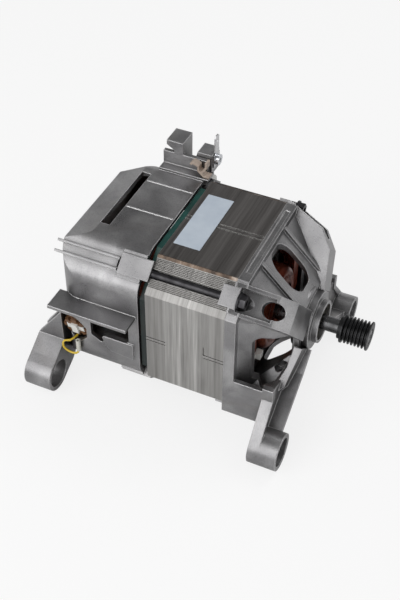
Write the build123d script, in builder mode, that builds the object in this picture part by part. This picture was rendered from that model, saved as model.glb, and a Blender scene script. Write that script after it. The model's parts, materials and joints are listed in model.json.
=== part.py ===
from build123d import *
from math import asin, atan2, cos, hypot, pi, radians, sin, sqrt, tan
import os

# Brushed universal drive motor of a washing machine, in millimetres.
# The shaft lies along X with the belt end at +X, Z points up, and the origin is on the shaft axis
# in the middle of the belt grooves. The motor rests on its four mounting lugs.

os.makedirs("parts", exist_ok=True)

# Fits and clearances
air_gap = 0.5
slide_gap = 0.15
brush_gap = 0.1
seat_gap = 0.05
turn_gap = 0.5
cut_overrun = 2.0
soft_gap = 0.3

# Belt pulley
groove_count = 7
groove_pitch = 2.34
groove_depth = 1.9
groove_root_width = 0.5
ridge_tip_width = 0.5
ridge_diameter = 18.4
pulley_flange_width = 1.0
pulley_flange_diameter = 19.3
pulley_collar_length = 2.2
pulley_collar_diameter = 15.0
pulley_edge = 0.25
pulley_length = groove_count * groove_pitch + 2 * pulley_flange_width

# Stator stack, an octagon seen along the shaft
stack_setback = 67.2
stack_length = 53.4
stack_width = 120.2
stack_height = 107.6
stack_top_flat = 80.8
stack_side_flat = 73.0
stack_front = -stack_setback
stack_rear = stack_front - stack_length

# Details of the stack's corner bevels, measured along the bevel from the top flat
bead_width = 2.0
bead_groove_width = 0.6
bead_groove_depth = 0.9
ridge_pitch = 1.0
ridge_depth = 0.4
upper_ridge_count = 7
lower_ridge_count = 5
channel_width = 6.4
channel_depth = 4.6
seam_width = 1.2
seam_depth = 0.8
seam_pitch = 3.6
side_seam_width = 0.7
side_seam_length = 13.5
side_seam_pitch = 2.6
side_notch_length = 7.0

# Magnetic circuit
rotor_diameter = 63.0
bore_diameter = rotor_diameter + 2 * air_gap
shoe_thickness = 5.0
shoe_angle = 58.0
pole_height = 34.0
window_width = 92.0
window_height = 88.0
window_corner_cut = 55.5

# Field coils
coil_overhang = 11.5
coil_inner = 32.0
coil_height = 9.5
coil_gap = 2.5
coil_corner = 6.5
field_wire = 1.2
field_loops = 6
field_loop_gap = 0.45
field_wire_gap = 0.15
field_samples = 72
insulator_thickness = 4.4
front_insulator_thickness = 2.0
insulator_inset = 1.5
front_insulator_overlap = 2.4

# Through bolts
bolt_diameter = 5.2
bolt_sink = 1.5
bolt_head_diameter = 9.6
bolt_head_height = 4.0
bolt_flange_diameter = 11.5
bolt_flange_height = 1.2
bolt_socket = 4.6
bolt_socket_depth = 2.2
bolt_seat_depth = 4.4

# Bearings
front_bearing_bore = 12.0
front_bearing_outside = 32.0
front_bearing_width = 10.0
front_bearing_setback = 26.5
front_ball_count = 8
front_ball_diameter = 5.9
rear_bearing_bore = 8.0
rear_bearing_outside = 22.0
rear_bearing_width = 7.0
rear_bearing_setback = 185.4
rear_ball_count = 7
rear_ball_diameter = 4.0
race_gap = 0.04
race_wall_share = 0.26
cage_thickness = 1.0
wave_spring_width = 1.2
wave_spring_wall = 1.6

# Shaft
shaft_nose_diameter = 10.0
shaft_body_diameter = 15.0
shaft_tail_diameter = 6.0
shaft_tail_length = 8.2
shaft_chamfer = 0.6
centre_hole_diameter = 3.2
centre_hole_depth = 5.0
circlip_width = 1.0
circlip_diameter = 15.6
circlip_groove_depth = 0.5
circlip_opening = 4.0

# Armature
core_length = 50.4
slot_count = 24
slot_width = 3.4
slot_opening = 1.6
slot_top_depth = 1.6
slot_depth = 11.0
front_turns_length = 16.0
rear_turns_length = 18.0
turns_inner_diameter = 22.0
turns_diameter = 57.0
turns_round = 4.5
lead_cone_diameter = 36.0
wedge_thickness = 1.0

# Commutator and brushes
commutator_setback = 163.6
commutator_length = 18.4
commutator_diameter = 36.0
commutator_bar_depth = 4.2
commutator_gap = 0.6
riser_length = 3.4
riser_diameter = 40.0
brush_axial_width = 12.5
brush_thickness = 5.0
brush_length = 26.0
brush_setback = 174.0
brush_tilt = 15.0
holder_wall = 1.6
holder_start = 21.5
holder_head_size = 17.0
holder_head_length = 5.0
holder_outer_radius = 60.5
holder_notch_width = 2.6
holder_notch_depth = 2.4
cap_tab_width = 4.6
cap_tab_height = 9.0
cap_tab_thickness = 1.6
cap_plug_depth = 3.0
spring_wire = 0.7
spring_radius = 1.75
spring_turns = 8
brush_dimple_depth = 1.0

# Tacho generator
tacho_magnet_diameter = 15.0
tacho_magnet_length = 5.0
tacho_coil_inner = 17.5
tacho_coil_outer = 25.0
tacho_coil_length = 4.6
tacho_cover_wall = 1.4
tacho_cover_length = 7.3

# Front end shield
rim_depth = 7.4
hub_diameter = 39.2
hub_setback = 26.3
nose_diameter = 28.8
nose_setback = 22.3
nose_bore = 25.0
facet_height = 49.0
facet_width = 55.3
facet_flat_share = 0.66
facet_foot_setback = 31.0
shield_wall = 3.4
shell_root = 2.4
leg_width = 20.0
leg_rim_radius = 69.4
leg_knee_radius = 58.0
leg_knee_setback = 40.5
leg_toe_radius = 46.0
leg_toe_setback = 31.5
leg_rib = 2.4
leg_channel_depth = 5.0
leg_slot_width = 11.0
leg_slot_length = 14.0
leg_slot_setback = 43.0
web_position = 19.0
web_thickness = 2.4
web_height = 3.0
oval_width = 23.0
oval_start_setback = 59.4
oval_end_setback = 36.8
oval_corner = 8.0
window_corner = 3.0
window_start = 20.5
shelf_thickness = 3.0
shelf_sink = 18.0
pad_proud = 2.4
pad_start = 5.2
pad_width = 13.4
front_pad_reach = 6.6
skirt_height = 30.0
skirt_drop = 45.0
skirt_thickness = 3.1
crest_diameter = 46.0
crest_width = 6.0
crest_round = 2.4
leg_start = 1.2
leg_foot_radius = 56.0
leg_toe_inner = 42.0
leg_heel_radius = 50.0
leg_heel_setback = 44.0
leg_end_setback = 27.5
leg_root_setback = 33.0
leg_root_radius = 25.9
leg_pocket_setback = 36.5
bolt_recess_diameter = 12.8
bolt_recess_length = 14.0
channel_end_setback = 42.0
window_along_shares = (0.226, 0.573, 0.896, 0.913, 0.694, 0.583, 0.236)
window_level_shares = (0.337, 0.184, 0.133, -0.286, -0.612, -0.653, -0.408)
rim_groove_width = 3.2
rim_groove_length = 66.0
rim_groove_depth = 0.6

# Mounting lugs
lug_spacing = 140.0
lug_drop = 53.5
lug_diameter = 25.6
lug_bore = 20.0
lug_length = 19.4
front_lug_setback = 20.8
rear_lug_setback = 183.8
arm_web = 3.6
arm_flange_width = 7.4
arm_flange_thickness = 4.0
arm_web_setback = 34.4
arm_shoulder_drop = 22.0
arm_top_drop = 12.5
arm_rib_shares = ((0.2, 0.262), (0.386, 0.467), (0.886, 0.879))
arm_rib_setback = 24.6
arm_rib_width = 2.6

# Rear end shield
rear_gap = 5.4
rear_wall_setback = 183.8
rear_wall = 3.0
rear_skin = 3.0
hood_start_setback = 167.4
hood_fall = 4.5
hood_cut_setback = 164.0
hood_cut_across = 10.5
hood_cut_aside = 8.0
hood_cut_level = 25.0
vent_front_setback = 160.8
vent_near = 28.0
vent_far = 31.0
bead_rib_width = 1.0
bead_rib_height = 0.5
bead_rib_near = 6.4
bead_rib_far = 23.6
ledge_height = 14.0
ledge_thickness = 2.4
ledge_reach = 74.0
ledge_front_setback = 127.8
rail_width = 1.6
rail_height = 2.2
rail_near = 9.6
rail_far = 16.6
rail_length = 41.0
land_height = 1.2
land_length = 16.0
corner_pad_sink = 5.4
lead_notch_diameter = 5.0
corner_boss_length = 16.0
rear_hub_cup_diameter = 48.0
rear_hub_cup_depth = 3.4
rear_boss_diameter = 30.0
rear_boss_wall = 1.6
rear_boss_bore = 13.6
rear_corner_round = 15.0
rear_arm_outline_shares = ((0.857, 0.0935), (0.843, 0.579), (1.014, 0.729))
rear_arm_inner_share = (0.714, 1.065)
rear_arm_slant_top = 5.0
rear_arm_slant_bottom = 31.0
rear_arm_skin = 4.0
rear_vent_width = 34.0
rear_vent_height = 9.0
rear_vent_level = 35.0
octagon_opening = 18.4
rear_vent_round = 3.0
rear_edge_round = 14.0
side_opening_setback = 161.5
side_opening_length = 28.0
side_opening_top = 8.0
side_opening_height = 29.0
side_opening_round = 2.0
side_opening_shares = ((0, 0), (1, 0), (1, 0.69), (0.3, 0.69), (0.37, 1), (0, 0.8))
side_plate_setback = 153.0
side_plate_length = 23.0
side_plate_top = -12.0
side_plate_height = 13.0
side_plate_proud = 1.2
side_plate_shares = ((0, 0), (1, 0), (1, 1), (0.3, 0.9), (0.1, 0.6))
rail_proud = 3.0

# Hook, earth block and bracket on the far top edge
bracket_near = 38.5
bracket_far = 48.5
bracket_proud = 1.6
bracket_front_setback = 122.5
bracket_length = 36.0
shelf_end = 60.0
shelf_drop = 9.0
fence_height = 9.5
fence_thickness = 3.0
hook_setback = 144.0
hook_width = 6.5
hook_depth = 15.0
hook_height = 20.0
hook_tip = 5.5
hook_cap = 3.4
block_front_setback = 124.5
block_length = 10.5
block_slope = 4.0
block_near = 49.0
block_depth = 12.0
block_height = 14.0
earth_screw_diameter = 4.0
earth_screw_length = 8.0
earth_level = 61.5
earth_position = 55.5
earth_head_diameter = 7.6
earth_head_height = 2.4
earth_tab_width = 6.3
earth_tab_thickness = 0.8
earth_tab_rise = 13.0
earth_plate = 9.0
clip_width = 5.0
clip_thickness = 1.6
clip_rise = 7.0
clip_foot = 8.0

# Small parts
label_length = 54.0
label_width = 18.0
label_thickness = 0.2
label_setback = 98.7
tie_width = 2.6
tie_thickness = 0.9
tie_slack = 0.2
tie_head = 5.0
tie_head_depth = 4.0
tie_level = -12.0
tie_head_reach = 33.5
protector_length = 14.0
protector_width = 7.0
protector_thickness = 3.0
lead_diameter = 1.6
lead_bend = 4.8
lead_reach = 62.6
lead_start = 46.0
lead_loop_back = 8.6
lead_loop_fall = 2.2
lead_loop_drop = 11.2
lead_loop_low = 12.2
lead_rise = 5.0
sleeve_aside = 3.5
sleeve_diameter = 3.2
sleeve_length = 9.0
sleeve_overlap = 1.8
terminal_width = 34.0
terminal_height = 14.0
terminal_depth = 13.0
terminal_middle_setback = 148.0
terminal_level = 27.0
terminal_base = 2.0
terminal_wall = 1.6
pin_count = 6
pin_width = 2.8
pin_thickness = 0.8
pin_length = 9.0

half_width = stack_width / 2
half_height = stack_height / 2
top_half = stack_top_flat / 2
side_half = stack_side_flat / 2
bevel_length = hypot(half_width - top_half, half_height - side_half)
bevel_angle = atan2(half_height - side_half, half_width - top_half)
bevel_y = sin(bevel_angle)
bevel_z = cos(bevel_angle)
bevel_radius = top_half * bevel_y + half_height * bevel_z
channel_start = bead_width + bead_groove_width + upper_ridge_count * ridge_pitch
channel_middle = channel_start + channel_width / 2
lower_ridge_start = channel_start + channel_width
bolt_y = top_half + channel_middle * bevel_z - bolt_sink * bevel_y
bolt_z = half_height - channel_middle * bevel_y - bolt_sink * bevel_z
corner_start = (bevel_radius * bevel_y - top_half) / bevel_z
pad_offset = pad_start + pad_width / 2 - corner_start
rim_front = stack_front + rim_depth
rear_front = stack_rear - rear_gap
rear_back = -rear_wall_setback
lug_y = lug_spacing / 2
lug_radius = lug_diameter / 2


def corners(width, height, top_flat, side_flat):
    """Eight points of an octagon centred on the shaft, counted from the top right."""
    quarter = [(top_flat / 2, height / 2), (width / 2, side_flat / 2)]
    right = quarter + [(y, -z) for y, z in reversed(quarter)]
    return right + [(-y, -z) for y, z in right]


def along_bevel(distance, depth):
    """Point of the +Y +Z bevel at a distance from the top flat and a depth below the bevel."""
    return (
        top_half + distance * bevel_z - depth * bevel_y,
        half_height - distance * bevel_y - depth * bevel_z,
    )


def bevel_points():
    """Outline of one bevel: edge bead, fine ridges, bolt channel, fine ridges, plain band."""
    points = [along_bevel(0, 0), along_bevel(bead_width, 0)]
    points.append(along_bevel(bead_width, bead_groove_depth))
    start = bead_width + bead_groove_width
    points.append(along_bevel(start, bead_groove_depth))
    for index in range(upper_ridge_count):
        left = start + index * ridge_pitch
        points.append(along_bevel(left + ridge_pitch / 2, 0))
        if index < upper_ridge_count - 1:
            points.append(along_bevel(left + ridge_pitch, ridge_depth))
    points += [along_bevel(channel_start, 0), along_bevel(channel_start, channel_depth)]
    points += [along_bevel(lower_ridge_start, channel_depth), along_bevel(lower_ridge_start, 0)]
    for index in range(lower_ridge_count):
        left = lower_ridge_start + index * ridge_pitch
        points.append(along_bevel(left + ridge_pitch / 2, ridge_depth))
        points.append(along_bevel(left + ridge_pitch, 0))
    points.append(along_bevel(bevel_length, 0))
    return points


def stack_outline():
    """Whole outline of the stack with its four detailed bevels."""
    upper_right = bevel_points()
    lower_right = [(y, -z) for y, z in reversed(upper_right)]
    right = upper_right + lower_right
    return right + [(-y, -z) for y, z in right]


def cut_outline(half_y, half_z, reach):
    """Octagon whose corners are cut at one distance from the shaft, parallel to the bevels."""
    flat_y = (reach - half_z * bevel_z) / bevel_y
    flat_z = (reach - half_y * bevel_y) / bevel_z
    return corners(2 * half_y, 2 * half_z, 2 * flat_y, 2 * flat_z)


def inset_outline(inset):
    """Outline of the stack moved inwards on all eight sides."""
    return cut_outline(half_width - inset, half_height - inset, bevel_radius - inset)


def side_outline(setback, top, length, height, shares):
    """Outline on the shield's side, from shares of its length forwards and of its height down."""
    return [(-setback + along * length, top - down * height) for along, down in shares]


def lug_place(side):
    """Centre of a lug in the Y-Z plane, with the seam of its circles on the outside."""
    return Location((side * lug_y, -lug_drop, 0), (0, 0, 90 - side * 90))


def write(part, name):
    """Labels a finished piece and writes its file."""
    part.part.label = name
    export_step(part.part, "parts/" + name + ".step")


def tangent_point(start, centre, radius, turn):
    """Where a line from start touches a circle, turn being 1 or -1 for the two sides."""
    gap_y = centre[0] - start[0]
    gap_z = centre[1] - start[1]
    distance = hypot(gap_y, gap_z)
    angle = atan2(gap_z, gap_y) + turn * asin(radius / distance)
    reach = sqrt(distance**2 - radius**2)
    return (start[0] + reach * cos(angle), start[1] + reach * sin(angle))


def biarc(start, leaving, end, arriving):
    """Two arcs that leave start and reach end along the given unit directions."""
    span = end - start
    total = leaving + arriving
    spread = 2 * (1 - leaving.dot(arriving))
    along = span.dot(total)
    size = (sqrt(along**2 + spread * span.dot(span)) - along) / spread
    joint = (start + leaving * size + end - arriving * size) / 2
    TangentArc(start, joint, tangent=leaving)
    TangentArc(joint, end, tangent=(end - arriving * size - joint).normalized())


def self_gap(route, turns, samples, wire):
    """Least gap of a wound wire to itself, from points one turn and more apart."""
    count = turns * samples
    points = [route.position_at(index / count) for index in range(count + 1)]
    least = min(
        (points[low] - points[high]).length
        for low in range(count)
        for high in range(low + samples // 2, count + 1)
    )
    return least - wire


def leg_plane(side_y, side_z):
    """Middle plane of one leg: local x along X, local y straight out of the bevel."""
    aside = Vector(0, side_y * bevel_z, -side_z * bevel_y) * pad_offset
    return Plane(origin=aside, x_dir=(1, 0, 0), z_dir=(0, -side_z * bevel_z, side_y * bevel_y))


def corner_plane(side_y, side_z):
    """Plane on one bevel: local x along X, local z straight out of the bevel."""
    out = Vector(0, side_y * bevel_y, side_z * bevel_z)
    return Plane(origin=out * bevel_radius, x_dir=(1, 0, 0), z_dir=out)


corner_signs = [(1, 1), (-1, 1), (-1, -1), (1, -1)]

# Stator core
shoe_reach = bore_diameter / 2 + shoe_thickness
wedge_half = shoe_reach / tan(radians(shoe_angle))
with BuildSketch(Plane.YZ.offset(stack_rear)) as shoe_section:
    Circle(shoe_reach)
    for side in (1, -1):
        with BuildLine():
            Polyline(
                (0, 0), (wedge_half, side * shoe_reach), (-wedge_half, side * shoe_reach), close=True
            )
        make_face(mode=Mode.SUBTRACT)

with BuildPart() as stator_core:
    with BuildSketch(Plane.YZ.offset(stack_rear)):
        with BuildLine():
            Polyline(*stack_outline(), close=True)
        make_face()
        with BuildLine():
            Polyline(*cut_outline(window_width / 2, window_height / 2, window_corner_cut), close=True)
        make_face(mode=Mode.SUBTRACT)
        Rectangle((window_width + stack_width) / 2, pole_height)
        add(shoe_section.sketch)
        Circle(bore_diameter / 2, mode=Mode.SUBTRACT)
    extrude(amount=stack_length)
    stack_middle = (stack_front + stack_rear) / 2
    with Locations(
        *[
            (stack_middle, side_y * seam_pitch / 2, side_z * half_height)
            for side_y in (1, -1)
            for side_z in (1, -1)
        ]
    ):
        Box(stack_length, seam_width, 2 * seam_depth, mode=Mode.SUBTRACT)
    with Locations(
        *[
            (end + inward * side_seam_length / 2, side_y * half_width, level)
            for end, inward in ((stack_front, -1), (stack_rear, 1))
            for side_y in (1, -1)
            for level in (0, -side_seam_pitch)
        ]
    ):
        Box(side_seam_length, 2 * seam_depth, side_seam_width, mode=Mode.SUBTRACT)
    with Locations(
        *[
            (stack_front - side_seam_length, side_y * half_width, side_notch_length / 2)
            for side_y in (1, -1)
        ]
    ):
        Box(side_seam_width, 2 * seam_depth, side_notch_length, mode=Mode.SUBTRACT)
write(stator_core, "stator_core")

# Coil insulators on both ends of the stack, the front one inside the rim of the front shield
front_plate = cut_outline(
    facet_width - soft_gap, facet_height - soft_gap, leg_foot_radius - soft_gap
)
rear_plate = cut_outline(
    half_width - insulator_inset,
    half_height - insulator_inset,
    bevel_radius - channel_depth - insulator_inset,
)
for name, start, thickness, plate, overlap in (
    (
        "front_coil_insulator",
        stack_front + seat_gap,
        front_insulator_thickness,
        front_plate,
        front_insulator_overlap,
    ),
    (
        "rear_coil_insulator",
        stack_rear - seat_gap - insulator_thickness,
        insulator_thickness,
        rear_plate,
        -seat_gap,
    ),
):
    with BuildPart() as insulator:
        with BuildSketch(Plane.YZ.offset(start)):
            with BuildLine():
                Polyline(*plate, close=True)
            make_face()
            with BuildLine():
                Polyline(
                    *cut_outline(
                        window_width / 2 + seat_gap,
                        window_height / 2 + seat_gap,
                        window_corner_cut - overlap,
                    ),
                    close=True,
                )
            make_face(mode=Mode.SUBTRACT)
        extrude(amount=thickness)
    write(insulator, name)

# Field coils: a plain inner winding inside one layer of loops
coil_depth = field_loops * (field_wire + field_loop_gap) + field_wire
coil_half_x = stack_length / 2 + coil_overhang
coil_half_z = pole_height / 2 + coil_gap + coil_height
layer = field_wire + field_wire_gap


def wound_route(side):
    """Racetrack of loops round one pole, climbing steadily away from the shaft."""
    half_x = coil_half_x - field_wire / 2
    half_z = coil_half_z - field_wire / 2
    corner = coil_corner + coil_height - field_wire / 2
    pitch = field_wire + field_loop_gap
    quarter = pi * corner / 2
    flat_x = 2 * (half_x - corner)
    flat_z = 2 * (half_z - corner)
    lap = 4 * quarter + 2 * flat_x + 2 * flat_z
    marks = [
        (-half_x, half_z - corner, flat_z / 2),
        (corner - half_x, half_z, quarter),
        (half_x - corner, half_z, flat_x),
        (half_x, half_z - corner, quarter),
        (half_x, corner - half_z, flat_z),
        (half_x - corner, -half_z, quarter),
        (corner - half_x, -half_z, flat_x),
        (-half_x, corner - half_z, quarter),
    ]
    base = coil_inner + field_wire / 2
    points = [Vector(stack_middle - half_x, side * base, 0)]
    travelled = 0
    for turn in range(field_loops):
        for index, (x, z, step) in enumerate(marks):
            travelled += step if turn == 0 or index > 0 else flat_z
            height = base + pitch * travelled / lap
            points.append(Vector(stack_middle + x, side * height, z))
    height = base + pitch * (travelled + flat_z / 2) / lap
    points.append(Vector(stack_middle - half_x, side * height, 0))
    with BuildLine() as route:
        for index in range(0, len(points), 2):
            Line(points[index], points[index + 1])
        for index in range(1, len(points) - 2, 2):
            leaving = (points[index] - points[index - 1]).normalized()
            arriving = (points[index + 2] - points[index + 1]).normalized()
            biarc(points[index], leaving, points[index + 1], arriving)
    return route.wires()[0]


for name, side in (("field_coil_right", 1), ("field_coil_left", -1)):
    route = wound_route(side)
    gap = self_gap(route, field_loops, field_samples, field_wire)
    print(name, "least gap of the wire to itself", round(gap, 3))
    with BuildPart() as field_coil:
        with BuildSketch(Plane.XZ.offset(-side * (coil_inner + coil_depth / 2))):
            with Locations((stack_middle, 0)):
                RectangleRounded(
                    2 * (coil_half_x - layer),
                    2 * (coil_half_z - layer),
                    coil_corner + coil_height - layer,
                )
                RectangleRounded(
                    2 * (coil_half_x - coil_height),
                    2 * (coil_half_z - coil_height),
                    coil_corner,
                    mode=Mode.SUBTRACT,
                )
        extrude(amount=coil_depth / 2, both=True)
        start = Plane(origin=route @ 0, z_dir=route % 0)
        with BuildSketch(start) as wire_section:
            Circle(field_wire / 2)
        sweep(sections=wire_section.sketch, path=route)
    write(field_coil, name)

# Through bolts with flanged socket heads, seated on the front shield's rim
bolt_seat = stack_front + bolt_seat_depth
bolt_tail = rear_front - corner_boss_length
with BuildPart() as through_bolts:
    for side_y, side_z in corner_signs:
        centre = (side_y * bolt_y, side_z * bolt_z)
        with BuildSketch(Plane.YZ.offset(bolt_tail)):
            with Locations(centre):
                Circle(bolt_diameter / 2)
        extrude(amount=bolt_seat - bolt_tail)
        with BuildSketch(Plane.YZ.offset(bolt_seat)):
            with Locations(centre):
                Circle(bolt_flange_diameter / 2)
        extrude(amount=bolt_flange_height)
        with BuildSketch(Plane.YZ.offset(bolt_seat + bolt_flange_height)):
            with Locations(centre):
                RegularPolygon(bolt_head_diameter / 2, 6)
        extrude(amount=bolt_head_height)
        with BuildSketch(Plane.YZ.offset(bolt_seat + bolt_flange_height + bolt_head_height)):
            with Locations(centre):
                Circle(bolt_socket / 2)
        extrude(amount=-bolt_socket_depth, mode=Mode.SUBTRACT)
write(through_bolts, "through_bolts")

# Shaft, turned in steps from the pulley nose to the tacho tail
pulley_front = pulley_length / 2
pulley_rear = -pulley_length / 2
front_bearing_front = -front_bearing_setback
front_bearing_rear = front_bearing_front - front_bearing_width
rear_bearing_front = -rear_bearing_setback
rear_bearing_rear = rear_bearing_front - rear_bearing_width
tail_end = rear_bearing_rear - shaft_tail_length
nose_step = front_bearing_front + circlip_width + shaft_chamfer
with BuildPart() as shaft:
    with BuildSketch(Plane.XZ):
        with BuildLine():
            Polyline(
                (pulley_front - pulley_edge, 0),
                (pulley_front - pulley_edge, shaft_nose_diameter / 2 - shaft_chamfer),
                (pulley_front - pulley_edge - shaft_chamfer, shaft_nose_diameter / 2),
                (nose_step, shaft_nose_diameter / 2),
                (nose_step, front_bearing_bore / 2),
                (front_bearing_rear, front_bearing_bore / 2),
                (front_bearing_rear, shaft_body_diameter / 2),
                (rear_bearing_front, shaft_body_diameter / 2),
                (rear_bearing_front, rear_bearing_bore / 2),
                (rear_bearing_rear, rear_bearing_bore / 2),
                (rear_bearing_rear, shaft_tail_diameter / 2),
                (tail_end, shaft_tail_diameter / 2),
                (tail_end, 0),
                close=True,
            )
        make_face()
    revolve(axis=Axis.X)
    with BuildSketch(Plane.YZ.offset(pulley_front)):
        Circle(centre_hole_diameter / 2)
    extrude(amount=-centre_hole_depth, mode=Mode.SUBTRACT)
    with BuildSketch(Plane.YZ.offset(front_bearing_front)):
        Circle(front_bearing_bore / 2 + cut_overrun)
        Circle(front_bearing_bore / 2 - circlip_groove_depth, mode=Mode.SUBTRACT)
    extrude(amount=circlip_width, mode=Mode.SUBTRACT)
write(shaft, "shaft")

# Circlip in its groove in front of the front bearing
with BuildPart() as shaft_circlip:
    with BuildSketch(Plane.YZ.offset(front_bearing_front + seat_gap)):
        Circle(circlip_diameter / 2)
        Circle(front_bearing_bore / 2 - circlip_groove_depth + seat_gap, mode=Mode.SUBTRACT)
        with Locations((0, circlip_diameter / 2)):
            Rectangle(circlip_opening, circlip_diameter, mode=Mode.SUBTRACT)
    extrude(amount=circlip_width - 2 * seat_gap)
write(shaft_circlip, "shaft_circlip")

# Belt pulley with its grooves, flanges and a plain collar at the back
pulley_points = [(pulley_rear, shaft_nose_diameter / 2)]
pulley_points.append((pulley_rear - pulley_collar_length, shaft_nose_diameter / 2))
pulley_points.append((pulley_rear - pulley_collar_length, pulley_collar_diameter / 2))
pulley_points.append((pulley_rear, pulley_collar_diameter / 2))
pulley_points.append((pulley_rear, pulley_flange_diameter / 2))
pulley_points.append((pulley_rear + pulley_flange_width, pulley_flange_diameter / 2))
for index in range(groove_count):
    middle = pulley_rear + pulley_flange_width + (index + 1 / 2) * groove_pitch
    half_mouth = (groove_pitch - ridge_tip_width) / 2
    root_radius = ridge_diameter / 2 - groove_depth
    pulley_points.append((middle - half_mouth, ridge_diameter / 2))
    pulley_points.append((middle - groove_root_width / 2, root_radius))
    pulley_points.append((middle + groove_root_width / 2, root_radius))
    pulley_points.append((middle + half_mouth, ridge_diameter / 2))
pulley_points.append((pulley_front - pulley_flange_width, pulley_flange_diameter / 2))
pulley_points.append((pulley_front - pulley_edge, pulley_flange_diameter / 2))
pulley_points.append((pulley_front, pulley_flange_diameter / 2 - pulley_edge))
pulley_points.append((pulley_front, shaft_nose_diameter / 2))
with BuildPart() as belt_pulley:
    with BuildSketch(Plane.XZ):
        with BuildLine():
            Polyline(*pulley_points, close=True)
        make_face()
    revolve(axis=Axis.X)
write(belt_pulley, "belt_pulley")

# Armature core with open slots
core_front = stack_middle + core_length / 2
core_rear = stack_middle - core_length / 2
core_radius = rotor_diameter / 2
slot_middle = core_radius - slot_top_depth - slot_depth / 2
with BuildPart() as armature_core:
    with BuildSketch(Plane.YZ.offset(core_rear)):
        Circle(core_radius)
        Circle(shaft_body_diameter / 2, mode=Mode.SUBTRACT)
        with PolarLocations(slot_middle, slot_count):
            Rectangle(slot_depth, slot_width, mode=Mode.SUBTRACT)
        with PolarLocations(core_radius - slot_top_depth / 2, slot_count):
            Rectangle(slot_top_depth + cut_overrun, slot_opening, mode=Mode.SUBTRACT)
    extrude(amount=core_length)
write(armature_core, "armature_core")

# Armature winding: bars in the slots, a rounded ring of end turns at each end, leads to the risers
riser_front = -commutator_setback + riser_length
bar_depth = slot_depth - wedge_thickness - 2 * slide_gap
with BuildPart() as armature_winding:
    with BuildSketch(Plane.YZ.offset(core_rear)):
        with PolarLocations(slot_middle - (slot_depth - bar_depth) / 2 + slide_gap, slot_count):
            Rectangle(bar_depth, slot_width - 2 * slide_gap)
    extrude(amount=core_length)
    for start, length in ((core_front, front_turns_length), (core_rear, -rear_turns_length)):
        with BuildSketch(Plane.XZ):
            with Locations((start + length / 2, (turns_inner_diameter + turns_diameter) / 4)):
                RectangleRounded(
                    abs(length), (turns_diameter - turns_inner_diameter) / 2, turns_round
                )
            with Locations((start + length / 4, (turns_inner_diameter + turns_diameter) / 4)):
                Rectangle(abs(length) / 2, (turns_diameter - turns_inner_diameter) / 2)
        revolve(axis=Axis.X)
    cone_start = core_rear - rear_turns_length + turns_round
    cone_end = riser_front + seat_gap
    with BuildSketch(Plane.XZ):
        with BuildLine():
            Polyline(
                (cone_start, turns_inner_diameter / 2),
                (cone_start, turns_diameter / 2 - turns_round),
                (cone_end, lead_cone_diameter / 2),
                (cone_end, turns_inner_diameter / 2),
                close=True,
            )
        make_face()
    revolve(axis=Axis.X)
write(armature_winding, "armature_winding")

# Wedges that close the slots
with BuildPart() as slot_wedges:
    with BuildSketch(Plane.YZ.offset(core_rear)):
        with PolarLocations(core_radius - slot_top_depth - (wedge_thickness + slide_gap) / 2, slot_count):
            Rectangle(wedge_thickness, slot_width - 2 * slide_gap)
    extrude(amount=core_length)
write(slot_wedges, "slot_wedges")

# Commutator: copper bars with risers, moulded on a hub
commutator_front = -commutator_setback
commutator_rear = commutator_front - commutator_length
commutator_radius = commutator_diameter / 2
bar_inner = commutator_radius - commutator_bar_depth
with BuildPart() as commutator_bars:
    with BuildSketch(Plane.YZ.offset(commutator_rear)):
        Circle(commutator_radius)
        Circle(bar_inner, mode=Mode.SUBTRACT)
        with PolarLocations(commutator_radius, slot_count):
            Rectangle(commutator_diameter, commutator_gap, mode=Mode.SUBTRACT)
    extrude(amount=commutator_length)
    with BuildSketch(Plane.YZ.offset(commutator_front)):
        Circle(riser_diameter / 2)
        Circle(bar_inner, mode=Mode.SUBTRACT)
        with PolarLocations(riser_diameter / 2, slot_count):
            Rectangle(riser_diameter, commutator_gap, mode=Mode.SUBTRACT)
    extrude(amount=riser_length)
write(commutator_bars, "commutator_bars")

with BuildPart() as commutator_hub:
    with BuildSketch(Plane.YZ.offset(commutator_rear)):
        Circle(bar_inner)
        Circle(shaft_body_diameter / 2, mode=Mode.SUBTRACT)
    extrude(amount=commutator_length + riser_length)
write(commutator_hub, "commutator_hub")


# Ball bearings
def make_bearing(place, front, width, bore, outside, ball, count):
    """Outer ring, inner ring, balls and cage of one deep groove bearing."""
    wall = race_wall_share * (outside - bore) / 2
    pitch_radius = (outside + bore) / 4
    middle = front - width / 2
    cage_wall = (outside - bore) / 2 - 2 * wall - 2 * turn_gap
    rings = (
        ("outer_ring", outside / 2 - wall, outside / 2),
        ("inner_ring", bore / 2, bore / 2 + wall),
    )
    for ring_name, inner, outer in rings:
        with BuildPart() as ring:
            with BuildSketch(Plane.XZ):
                with Locations((middle, (inner + outer) / 2)):
                    Rectangle(width, outer - inner)
                with Locations((middle, pitch_radius)):
                    Circle(ball / 2 + race_gap, mode=Mode.SUBTRACT)
            revolve(axis=Axis.X)
        write(ring, place + "_bearing_" + ring_name)
    with BuildPart() as balls:
        with Locations(Plane.YZ.offset(middle)):
            with PolarLocations(pitch_radius, count):
                Sphere(ball / 2)
    write(balls, place + "_bearing_balls")
    with BuildPart() as cage:
        with BuildSketch(Plane.YZ.offset(middle)):
            Circle(pitch_radius + cage_wall / 2)
            Circle(pitch_radius - cage_wall / 2, mode=Mode.SUBTRACT)
        extrude(amount=ball / 2 + cage_thickness, both=True)
        with Locations(Plane.YZ.offset(middle)):
            with PolarLocations(pitch_radius, count):
                Cylinder(
                    ball / 2 + slide_gap, outside - bore, rotation=(0, 90, 0), mode=Mode.SUBTRACT
                )
    write(cage, place + "_bearing_cage")


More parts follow.
